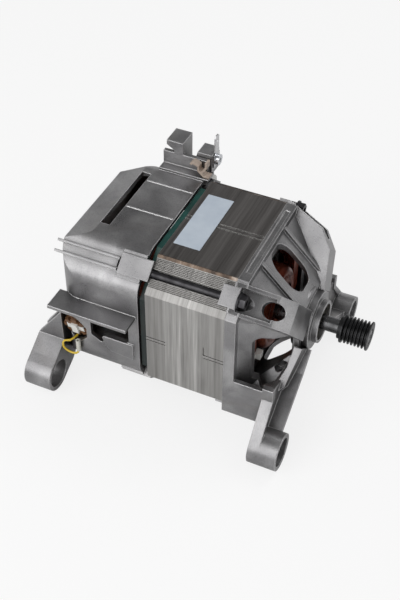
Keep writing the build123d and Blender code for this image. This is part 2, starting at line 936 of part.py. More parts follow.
make_bearing(
    "front",
    front_bearing_front,
    front_bearing_width,
    front_bearing_bore,
    front_bearing_outside,
    front_ball_diameter,
    front_ball_count,
)
make_bearing(
    "rear",
    rear_bearing_front,
    rear_bearing_width,
    rear_bearing_bore,
    rear_bearing_outside,
    rear_ball_diameter,
    rear_ball_count,
)

# Brushes, their holders, springs and caps, on one tilted line through the shaft axis
brush_x = -brush_setback
brush_start = commutator_radius + brush_gap
brush_end = brush_start + brush_length
cap_start = holder_outer_radius - cap_plug_depth
spring_start = brush_end + slide_gap
spring_length = cap_start - slide_gap - spring_start
tilt = radians(brush_tilt)


def brush_plane(side, distance):
    """Plane across the brush line: local x along the shaft, local z away from it."""
    out = Vector(0, side * cos(tilt), side * sin(tilt))
    return Plane(origin=Vector(brush_x, 0, 0) + out * distance, x_dir=(1, 0, 0), z_dir=out)


def spring_route(plane):
    """Helix of a compression spring, in arcs of a quarter turn."""
    steps = 4 * spring_turns
    free = spring_length - spring_wire
    rise = free / (steps / 4)
    slope = Vector(0, spring_radius, rise / (2 * pi)).normalized()
    with BuildLine() as route:
        for step in range(steps):
            ends = []
            for index in (step, step + 1):
                angle = index * pi / 2
                point = (
                    plane.x_dir * (spring_radius * cos(angle))
                    + plane.y_dir * (spring_radius * sin(angle))
                    + plane.z_dir * (spring_wire / 2 + rise * index / 4)
                )
                way = (
                    plane.x_dir * (-sin(angle) * slope.Y)
                    + plane.y_dir * (cos(angle) * slope.Y)
                    + plane.z_dir * slope.Z
                )
                ends.append((plane.origin + point, way))
            biarc(ends[0][0], ends[0][1], ends[1][0], ends[1][1])
    return route.wires()[0]


for place, side in (("right", 1), ("left", -1)):
    with BuildPart() as brush:
        with BuildSketch(brush_plane(side, commutator_radius * cos(radians(360 / slot_count)))):
            Rectangle(brush_axial_width, brush_thickness)
        extrude(amount=brush_end - commutator_radius * cos(radians(360 / slot_count)))
        with BuildSketch(Plane.YZ.offset(commutator_rear - cut_overrun)):
            Circle(brush_start)
        extrude(amount=commutator_length + 2 * cut_overrun, mode=Mode.SUBTRACT)
        with BuildSketch(brush_plane(side, brush_end)):
            Circle(spring_radius + spring_wire)
        extrude(amount=-brush_dimple_depth, mode=Mode.SUBTRACT)
    write(brush, "carbon_brush_" + place)

    with BuildPart() as holder:
        with BuildSketch(brush_plane(side, holder_start)):
            Rectangle(brush_axial_width + 2 * holder_wall, brush_thickness + 2 * holder_wall)
        extrude(amount=holder_outer_radius - holder_start)
        with BuildSketch(brush_plane(side, holder_outer_radius - holder_head_length)):
            RegularPolygon(holder_head_size / 2, 8, major_radius=False, rotation=180 / 8)
        extrude(amount=holder_head_length)
        with BuildSketch(brush_plane(side, holder_start)):
            Rectangle(brush_axial_width + 2 * slide_gap, brush_thickness + 2 * slide_gap)
        extrude(amount=holder_outer_radius - holder_start, mode=Mode.SUBTRACT)
        with BuildSketch(brush_plane(side, holder_outer_radius)):
            with PolarLocations(holder_head_size / 2, 8, start_angle=180 / 8):
                Rectangle(2 * holder_notch_depth, holder_notch_width)
        extrude(amount=-holder_head_length / 2, mode=Mode.SUBTRACT)
    write(holder, "brush_holder_" + place)

    with BuildPart() as cap:
        with BuildSketch(brush_plane(side, cap_start)):
            Rectangle(brush_axial_width, brush_thickness)
        extrude(amount=cap_plug_depth)
        with BuildSketch(brush_plane(side, holder_outer_radius)):
            Rectangle(cap_tab_width, cap_tab_height)
        extrude(amount=cap_tab_thickness)
    write(cap, "brush_cap_" + place)

    route = spring_route(brush_plane(side, spring_start - brush_dimple_depth))
    with BuildPart() as spring:
        with BuildSketch(Plane(origin=route @ 0, z_dir=route % 0)) as spring_section:
            Circle(spring_wire / 2)
        sweep(sections=spring_section.sketch, path=route)
    write(spring, "brush_spring_" + place)


def facet_share(x):
    """Size of the front shell at a station along the shaft, as a share of its size at the rim."""
    return (facet_height - (x - rim_front)) / facet_height


def facet_outline(share):
    """Octagon of the front shell, shrunk towards the shaft axis."""
    return corners(
        2 * facet_width * share,
        2 * facet_height * share,
        2 * facet_width * facet_flat_share * share,
        2 * facet_height * facet_flat_share * share,
    )


# Front end shield: rim, sloping shell, hub, four channelled legs, two lug arms
front_seat = stack_front + seat_gap
foot_x = -facet_foot_setback
foot_share = facet_share(foot_x)
shell_shift = shield_wall * sqrt(2)
hub_front = -hub_setback
hub_back = front_bearing_rear - leg_start
front_lug_front = -front_lug_setback
front_lug_rear = front_lug_front - lug_length
arm_foot = tangent_point((half_width, -arm_shoulder_drop), (lug_y, -lug_drop), lug_radius, 1)
arm_back = tangent_point(
    (half_width - arm_flange_thickness, -arm_shoulder_drop),
    (lug_y, -lug_drop),
    lug_radius - arm_flange_thickness,
    1,
)


def band(line, width):
    """Outline of a strip of one width along a bent line in the Y-Z plane."""
    near, far = [], []
    for index, (y, z) in enumerate(line):
        before = line[max(index - 1, 0)]
        after = line[min(index + 1, len(line) - 1)]
        length = hypot(after[0] - before[0], after[1] - before[1])
        aside_y = (before[1] - after[1]) / length * width / 2
        aside_z = (after[0] - before[0]) / length * width / 2
        near.append((y + aside_y, z + aside_z))
        far.append((y - aside_y, z - aside_z))
    return near + far[::-1]


def leg_line(x):
    """Height of a leg's outer face above the shaft axis between the rim and the knee."""
    start = front_seat + leg_start
    fall = leg_rim_radius - leg_knee_radius
    return leg_rim_radius - fall * (x - start) / (-leg_knee_setback - start)


window_points = [
    (rim_front + along * (foot_x - rim_front), level * facet_height)
    for along, level in zip(window_along_shares, window_level_shares)
]
arm_rib_points = [(y * lug_y, -z * lug_drop) for y, z in arm_rib_shares]
shelf_top = -skirt_drop + skirt_height - shelf_sink
mid_shift = shell_shift / 2
shelf_share = facet_share(mid_shift - arm_web_setback - arm_web / 2)
arm_middle = half_width - arm_flange_thickness / 2
with BuildPart() as lug_arms:
    for side in (1, -1):
        with BuildSketch(Plane.YZ.offset(front_lug_rear)):
            with BuildLine():
                Polyline(
                    (side * half_width, -arm_top_drop),
                    (side * half_width, -arm_shoulder_drop),
                    (side * arm_foot[0], arm_foot[1]),
                    (side * arm_back[0], arm_back[1]),
                    (side * (half_width - arm_flange_thickness), -arm_shoulder_drop),
                    (side * (half_width - arm_flange_thickness), -arm_top_drop),
                    close=True,
                )
            make_face()
            with Locations(lug_place(side)):
                Circle(lug_radius)
        extrude(amount=arm_flange_width)
        with BuildSketch(Plane.YZ.offset(front_lug_rear + arm_flange_width)):
            with Locations(lug_place(side)):
                Circle(lug_radius)
        extrude(amount=lug_length - arm_flange_width)
        with BuildSketch(Plane.YZ.offset(-arm_web_setback - arm_web)):
            with BuildLine():
                Polyline(
                    (side * arm_middle, -arm_top_drop - arm_web),
                    (side * arm_middle, -arm_shoulder_drop),
                    (side * (arm_foot[0] + arm_back[0]) / 2, (arm_foot[1] + arm_back[1]) / 2),
                    (side * lug_y, -lug_drop),
                    (side * arm_rib_points[2][0], arm_rib_points[2][1]),
                    (side * arm_rib_points[1][0], arm_rib_points[1][1]),
                    close=True,
                )
            make_face()
        extrude(amount=arm_web)
        rib_line = [(side * y, z) for y, z in arm_rib_points] + [(side * lug_y, -lug_drop)]
        with BuildSketch(Plane.YZ.offset(-arm_web_setback - arm_web / 2)):
            with BuildLine():
                Polyline(*band(rib_line, arm_rib_width), close=True)
            make_face()
        extrude(amount=arm_web_setback + arm_web / 2 - arm_rib_setback)
        with BuildSketch(Plane.XZ.offset(-side * half_width)):
            with Locations(((front_seat + front_lug_rear) / 2, skirt_height / 2 - skirt_drop)):
                Rectangle(front_lug_rear - front_seat, skirt_height)
        extrude(amount=side * skirt_thickness)
        with BuildSketch(Plane.XY.offset(shelf_top - shelf_thickness)):
            with BuildLine():
                Polyline(
                    (front_seat + leg_start, side * (half_width - skirt_thickness / 2)),
                    (-arm_web_setback - arm_web / 2, side * (half_width - skirt_thickness / 2)),
                    (-arm_web_setback - arm_web / 2, side * facet_width * shelf_share),
                    (rim_front - mid_shift, side * facet_width),
                    (front_seat + leg_start, side * (facet_width + leg_start)),
                    close=True,
                )
            make_face()
        extrude(amount=shelf_thickness)
    for side in (1, -1):
        with BuildSketch(Plane.YZ.offset(front_lug_rear)):
            with Locations(lug_place(side)):
                Circle(lug_bore / 2)
        extrude(amount=lug_length, mode=Mode.SUBTRACT)

with BuildPart() as front_end_shield:
    with BuildSketch(Plane.YZ.offset(front_seat)):
        with BuildLine():
            Polyline(*corners(stack_width, stack_height, stack_top_flat, stack_side_flat), close=True)
        make_face()
        with BuildLine():
            Polyline(*facet_outline(1), close=True)
        make_face(mode=Mode.SUBTRACT)
    extrude(amount=rim_front - front_seat)
    with BuildSketch(Plane.YZ.offset(rim_front - shell_root)):
        with BuildLine():
            Polyline(*facet_outline(facet_share(rim_front - shell_root)), close=True)
        make_face()
    with BuildSketch(Plane.YZ.offset(foot_x)):
        with BuildLine():
            Polyline(*facet_outline(foot_share), close=True)
        make_face()
    loft(ruled=True)
    with BuildSketch(Plane.XZ):
        with Locations((foot_x - crest_width / 2, crest_diameter / 4)):
            RectangleRounded(crest_width, crest_diameter / 2, crest_round)
        with Locations((foot_x - crest_width / 2, crest_diameter / 8)):
            Rectangle(crest_width, crest_diameter / 4)
    revolve(axis=Axis.X)
    for side_y, side_z in corner_signs:
        with BuildSketch(leg_plane(side_y, side_z)):
            with BuildLine():
                Polyline(
                    (front_seat, leg_foot_radius),
                    (front_seat, leg_rim_radius),
                    (front_seat + leg_start, leg_rim_radius),
                    (-leg_knee_setback, leg_knee_radius),
                    (-leg_toe_setback, leg_toe_radius),
                    (-leg_end_setback, hub_diameter / 2),
                    (-leg_root_setback, hub_diameter / 2),
                    (-leg_root_setback, leg_root_radius),
                    (rim_front - leg_start, leg_foot_radius),
                    close=True,
                )
            make_face()
        extrude(amount=leg_width / 2, both=True)
    with BuildSketch(Plane.YZ.offset(rim_front - shell_shift)):
        with BuildLine():
            Polyline(*facet_outline(1), close=True)
        make_face()
    with BuildSketch(Plane.YZ.offset(foot_x - shell_shift)):
        with BuildLine():
            Polyline(*facet_outline(foot_share), close=True)
        make_face()
    loft(ruled=True, mode=Mode.SUBTRACT)
    with BuildSketch(Plane.YZ.offset(hub_back)):
        Circle(hub_diameter / 2)
    extrude(amount=hub_front - hub_back)
    with BuildSketch(Plane.YZ.offset(hub_front)):
        Circle(nose_diameter / 2)
    extrude(amount=hub_setback - nose_setback)
    for side_y, side_z in corner_signs:
        with BuildSketch(corner_plane(side_y, side_z)):
            with Locations(((rim_front + front_seat - front_pad_reach) / 2, side_y * side_z * pad_offset)):
                Rectangle(rim_front - front_seat + front_pad_reach, pad_width)
        extrude(amount=pad_proud)
    for side in (1, -1):
        for side_z in (1, -1):
            with BuildSketch(Plane.XZ.offset(-side * web_position)):
                with BuildLine():
                    Polyline(
                        (rim_front - leg_start, side_z * facet_height),
                        (rim_front, side_z * (facet_height + web_height)),
                        (foot_x, side_z * (facet_height * foot_share + web_height)),
                        (foot_x, side_z * (facet_height * foot_share - shield_wall)),
                        (rim_front - leg_start, side_z * (facet_height - shield_wall)),
                        close=True,
                    )
                make_face()
            extrude(amount=web_thickness / 2, both=True)
    for side_y, side_z in corner_signs:
        with BuildSketch(leg_plane(side_y, side_z)):
            with BuildLine():
                Polyline(
                    (rim_front + seat_gap, leg_foot_radius - leg_rib),
                    (-leg_heel_setback, leg_heel_radius),
                    (-leg_pocket_setback - leg_rib, leg_toe_inner),
                    (-leg_pocket_setback, leg_root_radius + leg_rib),
                    (-leg_pocket_setback, leg_root_radius - leg_rib),
                    (-channel_end_setback, leg_root_radius - leg_rib),
                    (rim_front + seat_gap, leg_foot_radius - 4 * leg_rib),
                    close=True,
                )
            make_face()
        extrude(amount=leg_width / 2 - leg_rib, both=True, mode=Mode.SUBTRACT)
        channel_end = -channel_end_setback
        with BuildSketch(leg_plane(side_y, side_z)):
            with BuildLine():
                Polyline(
                    (bolt_seat, leg_line(bolt_seat) - leg_channel_depth),
                    (channel_end, leg_line(channel_end) - leg_channel_depth),
                    (channel_end, leg_rim_radius + cut_overrun),
                    (bolt_seat, leg_rim_radius + cut_overrun),
                    close=True,
                )
            make_face()
        extrude(amount=leg_width / 2 - leg_rib, both=True, mode=Mode.SUBTRACT)
        with BuildSketch(corner_plane(side_y, side_z)):
            with Locations((-leg_slot_setback, side_y * side_z * pad_offset)):
                RectangleRounded(leg_slot_length, leg_slot_width, leg_slot_width / 2 - seat_gap)
        extrude(amount=bevel_radius / 2, both=True, mode=Mode.SUBTRACT)
        with BuildSketch(corner_plane(side_y, side_z).offset(seat_gap)):
            with Locations((stack_front - front_pad_reach / 2, side_y * side_z * pad_offset)):
                Rectangle(front_pad_reach + 2 * seat_gap, pad_width)
        extrude(amount=-pad_proud, mode=Mode.SUBTRACT)
    for side in (1, -1):
        with BuildSketch(Plane.XZ.offset(-side * window_start)):
            with BuildLine():
                FilletPolyline(*window_points, radius=window_corner, close=True)
            make_face()
        extrude(amount=-side * (facet_width - window_start), mode=Mode.SUBTRACT)
        with BuildSketch(Plane.XY.offset(side * window_start)):
            with Locations(((-oval_start_setback - oval_end_setback) / 2, 0)):
                RectangleRounded(oval_start_setback - oval_end_setback, oval_width, oval_corner)
        extrude(amount=side * half_height, mode=Mode.SUBTRACT)
    add(lug_arms.part)
    with Locations(((front_seat + rim_front) / 2, 0, half_height)):
        Box(rim_groove_width, rim_groove_length, 2 * rim_groove_depth, mode=Mode.SUBTRACT)
    with BuildSketch(Plane.YZ.offset(hub_back - cut_overrun)):
        Circle(front_bearing_outside / 2)
    extrude(amount=front_bearing_front - hub_back + cut_overrun, mode=Mode.SUBTRACT)
    with BuildSketch(Plane.YZ.offset(front_bearing_rear)):
        Circle(nose_bore / 2)
    extrude(amount=-nose_setback - front_bearing_rear + cut_overrun, mode=Mode.SUBTRACT)
    for side_y, side_z in corner_signs:
        with BuildSketch(Plane.YZ.offset(stack_front - front_pad_reach - cut_overrun)):
            with Locations((side_y * bolt_y, side_z * bolt_z)):
                Circle(bolt_diameter / 2 + soft_gap)
        extrude(amount=bolt_seat - stack_front + front_pad_reach + 2 * cut_overrun, mode=Mode.SUBTRACT)
        with BuildSketch(Plane.YZ.offset(bolt_seat)):
            with Locations((side_y * bolt_y, side_z * bolt_z)):
                Circle(bolt_recess_diameter / 2)
        extrude(amount=bolt_recess_length, mode=Mode.SUBTRACT)
write(front_end_shield, "front_end_shield")

# Inside of the rear end shield, as a body to take away
hood_x = -hood_start_setback
hollow_back = rear_back + rear_wall
plan_length = 2 * (rear_front - rear_back)
hood_cut_start = Vector(-hood_cut_setback, top_half, half_height)
hood_cut_end = Vector(rear_back, top_half - hood_cut_across, half_height - hood_fall)
hood_cut_foot = Vector(rear_back, half_width - hood_cut_aside, hood_cut_level)
hood_cut = Plane(
    origin=hood_cut_start,
    x_dir=hood_cut_end - hood_cut_start,
    z_dir=(hood_cut_foot - hood_cut_start).cross(hood_cut_end - hood_cut_start),
)
with BuildPart() as rear_hollow:
    with BuildSketch(Plane.YZ.offset(hollow_back)):
        with BuildLine():
            FilletPolyline(
                *inset_outline(rear_skin),
                radius=rear_edge_round - rear_skin,
                close=True,
            )
        make_face()
    extrude(amount=rear_front + cut_overrun - hollow_back)
    with BuildSketch(Plane.XY.offset(-half_height)):
        with Locations((hollow_back + plan_length / 2, 0)):
            RectangleRounded(plan_length, stack_width - 2 * rear_skin, rear_corner_round - rear_skin)
    extrude(amount=stack_height, mode=Mode.INTERSECT)
    with BuildSketch(Plane.XZ):
        with BuildLine():
            Polyline(
                (hood_x + rear_skin, half_height - rear_skin),
                (rear_back, half_height - rear_skin - hood_fall),
                (rear_back, half_height),
                (hood_x + rear_skin, half_height),
                close=True,
            )
        make_face()
    extrude(amount=half_width, both=True, mode=Mode.SUBTRACT)
    with BuildSketch(hood_cut.offset(-rear_skin)):
        Rectangle(2 * stack_width, 2 * stack_width)
    extrude(amount=half_width, mode=Mode.SUBTRACT)

# Arms and lugs of the rear end shield
rear_lug_front = -rear_lug_setback
rear_lug_rear = rear_lug_front - lug_length
rear_arm_outline = [(y * lug_y, -z * lug_drop) for y, z in rear_arm_outline_shares]
rear_arm_inner = (rear_arm_inner_share[0] * lug_y, -rear_arm_inner_share[1] * lug_drop)
rear_shoulder = rear_arm_outline[2]
rear_foot = tangent_point(rear_shoulder, (lug_y, -lug_drop), lug_radius, 1)
rear_heel = tangent_point(rear_arm_inner, (lug_y, -lug_drop), lug_radius, -1)
pocket_low = -lug_drop + lug_radius
with BuildPart() as rear_arms:
    for side in (1, -1):
        with BuildSketch(Plane.YZ.offset(rear_lug_rear)):
            with BuildLine():
                Polyline(
                    *[(side * y, z) for y, z in rear_arm_outline],
                    (side * rear_foot[0], rear_foot[1]),
                    (side * lug_y, -lug_drop),
                    (side * rear_heel[0], rear_heel[1]),
                    (side * rear_arm_inner[0], rear_arm_inner[1]),
                    (side * (top_half + rear_arm_skin), -half_height + rear_skin),
                    (side * (top_half + rear_arm_skin), -rear_arm_slant_top),
                    close=True,
                )
            make_face()
        extrude(amount=lug_length)
        with BuildSketch(Plane.YZ.offset(rear_lug_rear)):
            with BuildLine():
                Polyline(
                    (side * (half_width - rear_arm_skin), -rear_arm_slant_top),
                    (side * (half_width - rear_arm_skin), -rear_arm_slant_bottom),
                    (side * (half_width - rear_arm_skin / 2), pocket_low + rear_arm_skin),
                    (side * (half_width - 2 * rear_arm_skin), pocket_low),
                    (side * (top_half + 2 * rear_arm_skin), pocket_low - rear_arm_skin),
                    (side * (top_half + 2 * rear_arm_skin), -rear_arm_slant_top),
                    close=True,
                )
            make_face()
        extrude(amount=lug_length - rear_arm_skin, mode=Mode.SUBTRACT)
    with BuildSketch(Plane.XZ):
        with BuildLine():
            Polyline(
                (rear_lug_front, 0),
                (rear_lug_front, -rear_arm_slant_top),
                (rear_lug_rear, -rear_arm_slant_bottom),
                (rear_lug_rear - cut_overrun, -rear_arm_slant_bottom),
                (rear_lug_rear - cut_overrun, 0),
                close=True,
            )
        make_face()
    extrude(amount=stack_width, both=True, mode=Mode.SUBTRACT)
    for side in (1, -1):
        with BuildSketch(Plane.YZ.offset(rear_lug_rear)):
            with Locations(lug_place(side)):
                Circle(lug_radius)
        extrude(amount=lug_length)
        with BuildSketch(Plane.YZ.offset(rear_lug_rear)):
            with Locations(lug_place(side)):
                Circle(lug_bore / 2)
        extrude(amount=lug_length, mode=Mode.SUBTRACT)

# Rear end shield: box with hood, ledge, rails, bearing hub, lug arms, hook and earth block
boss_back = rear_bearing_rear - wave_spring_width - rear_boss_wall
land_x = rear_front - land_length / 2
bracket_front = -bracket_front_setback
bracket_back = bracket_front - bracket_length
bracket_top = half_height + bracket_proud
block_front = -block_front_setback
block_top = bracket_top - bracket_proud + block_height
hook_front = -hook_setback
hook_top = half_height + hook_height
rail_back = rear_back - rail_proud
side_opening_points = side_outline(
    side_opening_setback,
    side_opening_top,
    side_opening_length,
    side_opening_height,
    side_opening_shares,
)
side_plate_points = side_outline(
    side_plate_setback,
    side_plate_top,
    side_plate_length,
    side_plate_height,
    side_plate_shares,
)
with BuildPart() as rear_end_shield:
    with BuildSketch(Plane.YZ.offset(rear_back)):
        with BuildLine():
            FilletPolyline(*inset_outline(0), radius=rear_edge_round, close=True)
        make_face()
    extrude(amount=rear_front - rear_back)
    with BuildSketch(Plane.XY.offset(-half_height)):
        with Locations((rear_back + plan_length / 2, 0)):
            RectangleRounded(plan_length, stack_width, rear_corner_round)
    extrude(amount=stack_height, mode=Mode.INTERSECT)
    with BuildSketch(Plane.XZ):
        with BuildLine():
            Polyline(
                (hood_x, half_height),
                (rear_back, half_height - hood_fall),
                (rear_back - cut_overrun, half_height - hood_fall),
                (rear_back - cut_overrun, half_height + cut_overrun),
                (hood_x, half_height + cut_overrun),
                close=True,
            )
        make_face()
    extrude(amount=half_width, both=True, mode=Mode.SUBTRACT)
    with BuildSketch(hood_cut):
        Rectangle(2 * stack_width, 2 * stack_width)
    extrude(amount=half_width, mode=Mode.SUBTRACT)
    with BuildSketch(Plane.YZ.offset(rear_back - rear_hub_cup_depth)):
        Circle(rear_hub_cup_diameter / 2)
    extrude(amount=rear_hub_cup_depth + rear_wall)
    with BuildSketch(Plane.YZ.offset(boss_back)):
        Circle(rear_boss_diameter / 2)
    extrude(amount=rear_back - boss_back)
    add(rear_arms.part)
    add(rear_hollow.part, mode=Mode.SUBTRACT)
    with BuildSketch(Plane.YZ.offset(rear_back - rear_hub_cup_depth + rear_wall)):
        Circle(rear_hub_cup_diameter / 2 - rear_wall)
    extrude(amount=rear_hub_cup_depth, mode=Mode.SUBTRACT)
    for side_y, side_z in corner_signs:
        aside = side_y * side_z * pad_offset
        with BuildSketch(corner_plane(side_y, side_z).offset(-corner_pad_sink)):
            with Locations(((stack_rear - seat_gap + bolt_tail) / 2, aside)):
                Rectangle(stack_rear - seat_gap - bolt_tail, pad_width)
        extrude(amount=corner_pad_sink + pad_proud)
        with BuildSketch(corner_plane(side_y, side_z).offset(-rear_skin / 2)):
            with Locations((land_x, aside)):
                Rectangle(land_length, pad_width + 2 * pad_proud)
        extrude(amount=rear_skin / 2 + land_height)
    for level in (rail_near, rail_far):
        with BuildSketch(corner_plane(-1, 1).offset(-rear_skin / 2)):
            with Locations((rail_back + (rail_length + rail_proud) / 2, -(level - corner_start))):
                Rectangle(rail_length + rail_proud, rail_width)
        extrude(amount=rear_skin / 2 + rail_height)
    for side in (1, -1):
        with BuildSketch(Plane.XZ.offset(-side * (half_width - rear_skin / 2))):
            with BuildLine():
                Polyline(*side_plate_points, close=True)
            make_face()
        extrude(amount=-side * (rear_skin / 2 + side_plate_proud))
    with Locations(
        (
            (rear_back - ledge_front_setback) / 2,
            -(half_width - rear_skin + ledge_reach) / 2,
            ledge_height - ledge_thickness / 2,
        )
    ):
        Box(-ledge_front_setback - rear_back, ledge_reach - half_width + rear_skin, ledge_thickness)
    for level in (-bead_rib_near, bead_rib_far):
        with Locations(((-vent_front_setback + rear_front) / 2, level, half_height)):
            Box(rear_front + vent_front_setback - 2 * bead_rib_width, bead_rib_width, 2 * bead_rib_height)
    with BuildSketch(Plane.YZ.offset(rear_front)):
        with BuildLine():
            Polyline(
                (bracket_near, half_height - rear_skin / 2),
                (bracket_near, bracket_top),
                (shelf_end, bracket_top),
                (shelf_end, bracket_top - fence_thickness),
                (bracket_far, half_height - shelf_drop),
                close=True,
            )
        make_face()
    extrude(amount=bracket_back - rear_front)
    with Locations(
        (
            (bracket_front + rear_front) / 2 - fence_thickness,
            (bracket_near + bracket_far) / 2,
            (half_height + bracket_top) / 2,
        )
    ):
        Box(bracket_front - rear_front + 2 * fence_thickness, bracket_far - bracket_near, bracket_proud)
    with Locations(
        (
            (rear_front + bracket_back) / 2,
            bracket_far - fence_thickness / 2,
            bracket_top + fence_height / 2 - bracket_proud / 2,
        )
    ):
        Box(rear_front - bracket_back, fence_thickness, fence_height + bracket_proud)
    with Locations(
        (
            hook_front - hook_width / 2,
            bracket_far - fence_thickness + hook_depth / 2,
            (hook_top + half_height) / 2,
        )
    ):
        Box(hook_width, hook_depth, hook_top - half_height)
    with BuildSketch(Plane.XZ.offset(-(bracket_far - fence_thickness))):
        with BuildLine():
            Polyline(
                (hook_front - hook_width / 2, hook_top),
                (hook_front - hook_width - hook_tip, hook_top),
                (hook_front - hook_width - hook_tip, hook_top - hook_cap),
                (hook_front - hook_width, hook_top - 2 * hook_cap),
                (hook_front - hook_width / 2, hook_top - 2 * hook_cap),
                close=True,
            )
        make_face()
    extrude(amount=-hook_depth)
    with BuildSketch(Plane.XZ.offset(-block_near)):
        with BuildLine():
            Polyline(
                (block_front, bracket_top - fence_thickness),
                (block_front, block_top),
                (block_front - block_length, block_top),
                (block_front - block_length - block_slope, bracket_top - fence_thickness),
                close=True,
            )
        make_face()
    extrude(amount=-block_depth)
    with BuildSketch(Plane.XY.offset(half_height - 2 * rear_skin)):
        with Locations((-(vent_front_setback + hood_start_setback) / 2, (vent_far - vent_near) / 2)):
            Rectangle(hood_start_setback - vent_front_setback, vent_near + vent_far)
    extrude(amount=3 * rear_skin, mode=Mode.SUBTRACT)
    for side in (1, -1):
        with BuildSketch(brush_plane(side, half_width - 3 * rear_skin)):
            RegularPolygon(octagon_opening / 2, 8, major_radius=False, rotation=180 / 8)
            with Locations((0, side * octagon_opening / 2)):
                Circle(lead_notch_diameter / 2)
        extrude(amount=5 * rear_skin, mode=Mode.SUBTRACT)
        with BuildSketch(brush_plane(side, holder_start - slide_gap)):
            Rectangle(
                brush_axial_width + 2 * (holder_wall + slide_gap),
                brush_thickness + 2 * (holder_wall + slide_gap),
            )
        extrude(amount=holder_outer_radius - holder_start, mode=Mode.SUBTRACT)
        with BuildSketch(Plane.XZ.offset(-side * (half_width - 2 * rear_skin))):
            with BuildLine():
                FilletPolyline(*side_opening_points, radius=side_opening_round, close=True)
            make_face()
        extrude(amount=-side * 3 * rear_skin, mode=Mode.SUBTRACT)
        with BuildSketch(Plane.YZ.offset(rear_back - rear_skin)):
            with Locations((0, side * rear_vent_level)):
                RectangleRounded(rear_vent_width, rear_vent_height, rear_vent_round)
        extrude(amount=3 * rear_skin, mode=Mode.SUBTRACT)
    with BuildSketch(Plane.YZ.offset(hollow_back)):
        Circle(rear_bearing_outside / 2)
    extrude(amount=boss_back + rear_boss_wall - hollow_back, mode=Mode.SUBTRACT)
    with BuildSketch(Plane.YZ.offset(hollow_back)):
        Circle(rear_boss_bore / 2)
    extrude(amount=boss_back - cut_overrun - hollow_back, mode=Mode.SUBTRACT)
    for side_y, side_z in corner_signs:
        with BuildSketch(Plane.YZ.offset(bolt_tail - cut_overrun)):
            with Locations((side_y * bolt_y, side_z * bolt_z)):
                Circle(bolt_diameter / 2 + seat_gap)
        extrude(amount=stack_rear - bolt_tail + 2 * cut_overrun, mode=Mode.SUBTRACT)
    with BuildSketch(Plane.YZ.offset(block_front)):
        with Locations((earth_position, earth_level)):
            Circle(earth_screw_diameter / 2 + seat_gap)
    extrude(amount=-earth_screw_length - seat_gap, mode=Mode.SUBTRACT)
write(rear_end_shield, "rear_end_shield")

# Wave spring behind the rear bearing
with BuildPart() as bearing_wave_spring:
    with BuildSketch(Plane.YZ.offset(rear_bearing_rear - wave_spring_width + seat_gap)):
        Circle(rear_bearing_outside / 2 - seat_gap)
        Circle(rear_bearing_outside / 2 - wave_spring_wall, mode=Mode.SUBTRACT)
    extrude(amount=wave_spring_width - 2 * seat_gap)
write(bearing_wave_spring, "bearing_wave_spring")

# Tacho generator on the shaft tail
with BuildPart() as tacho_magnet:
    with BuildSketch(Plane.YZ.offset(tail_end)):
        Circle(tacho_magnet_diameter / 2)
        Circle(shaft_tail_diameter / 2, mode=Mode.SUBTRACT)
    extrude(amount=tacho_magnet_length)
write(tacho_magnet, "tacho_magnet")

with BuildPart() as tacho_coil:
    with BuildSketch(Plane.YZ.offset(boss_back - seat_gap)):
        Circle(tacho_coil_outer / 2)
        Circle(tacho_coil_inner / 2, mode=Mode.SUBTRACT)
    extrude(amount=-tacho_coil_length)
write(tacho_coil, "tacho_coil")

cover_inside = tacho_coil_outer / 2 + seat_gap
with BuildPart() as tacho_cover:
    with BuildSketch(Plane.YZ.offset(boss_back - seat_gap)):
        Circle(cover_inside + tacho_cover_wall)
    extrude(amount=-tacho_cover_length)
    with BuildSketch(Plane.YZ.offset(boss_back - seat_gap)):
        Circle(cover_inside)
    extrude(amount=tacho_cover_wall - tacho_cover_length, mode=Mode.SUBTRACT)
write(tacho_cover, "tacho_cover")

# Blank rating label on the top of the stack
with BuildPart() as rating_label:
    with BuildSketch(Plane.XY.offset(half_height)):
        with Locations((-label_setback - label_width / 2, 0)):
            RectangleRounded(label_width, label_length, label_thickness)
    extrude(amount=label_thickness)
write(rating_label, "rating_label")

# Earth terminal and its screw on the block
with BuildPart() as earth_terminal:
    with BuildSketch(Plane.YZ.offset(block_front + seat_gap)):
        with Locations((earth_position, earth_level)):
            Rectangle(earth_plate, earth_plate)
        with Locations((earth_position, earth_level + (earth_plate + earth_tab_rise) / 2)):
            Rectangle(earth_tab_width, earth_tab_rise)
        with BuildLine():
            tab_top = earth_level + earth_plate / 2 + earth_tab_rise
            Polyline(
                (earth_position - earth_tab_width / 2, tab_top),
                (earth_position + earth_tab_width / 2, tab_top),
                (earth_position + earth_tab_width / 4, tab_top + earth_tab_width / 4),
                (earth_position - earth_tab_width / 4, tab_top + earth_tab_width / 4),
                close=True,
            )
        make_face()
        with Locations((earth_position, earth_level)):
            Circle(earth_screw_diameter / 2 + seat_gap, mode=Mode.SUBTRACT)
        with Locations((earth_position, tab_top - earth_tab_width / 2)):
            Circle(earth_tab_width / 5, mode=Mode.SUBTRACT)
    extrude(amount=earth_tab_thickness)
write(earth_terminal, "earth_terminal")

screw_seat = block_front + earth_tab_thickness + 2 * seat_gap
with BuildPart() as earth_screw:
    with BuildSketch(Plane.YZ.offset(block_front - earth_screw_length)):
        with Locations((earth_position, earth_level)):
            Circle(earth_screw_diameter / 2)
    extrude(amount=screw_seat - block_front + earth_screw_length)
    with BuildSketch(Plane.YZ.offset(screw_seat)):
        with Locations((earth_position, earth_level)):
            Circle(earth_head_diameter / 2)
    extrude(amount=earth_head_height)
    with BuildSketch(Plane.YZ.offset(screw_seat + earth_head_height)):
        with Locations((earth_position, earth_level)):
            Rectangle(earth_head_diameter / 2, earth_tab_thickness)
            Rectangle(earth_tab_thickness, earth_head_diameter / 2)
    extrude(amount=-earth_head_height / 2, mode=Mode.SUBTRACT)
write(earth_screw, "earth_screw")

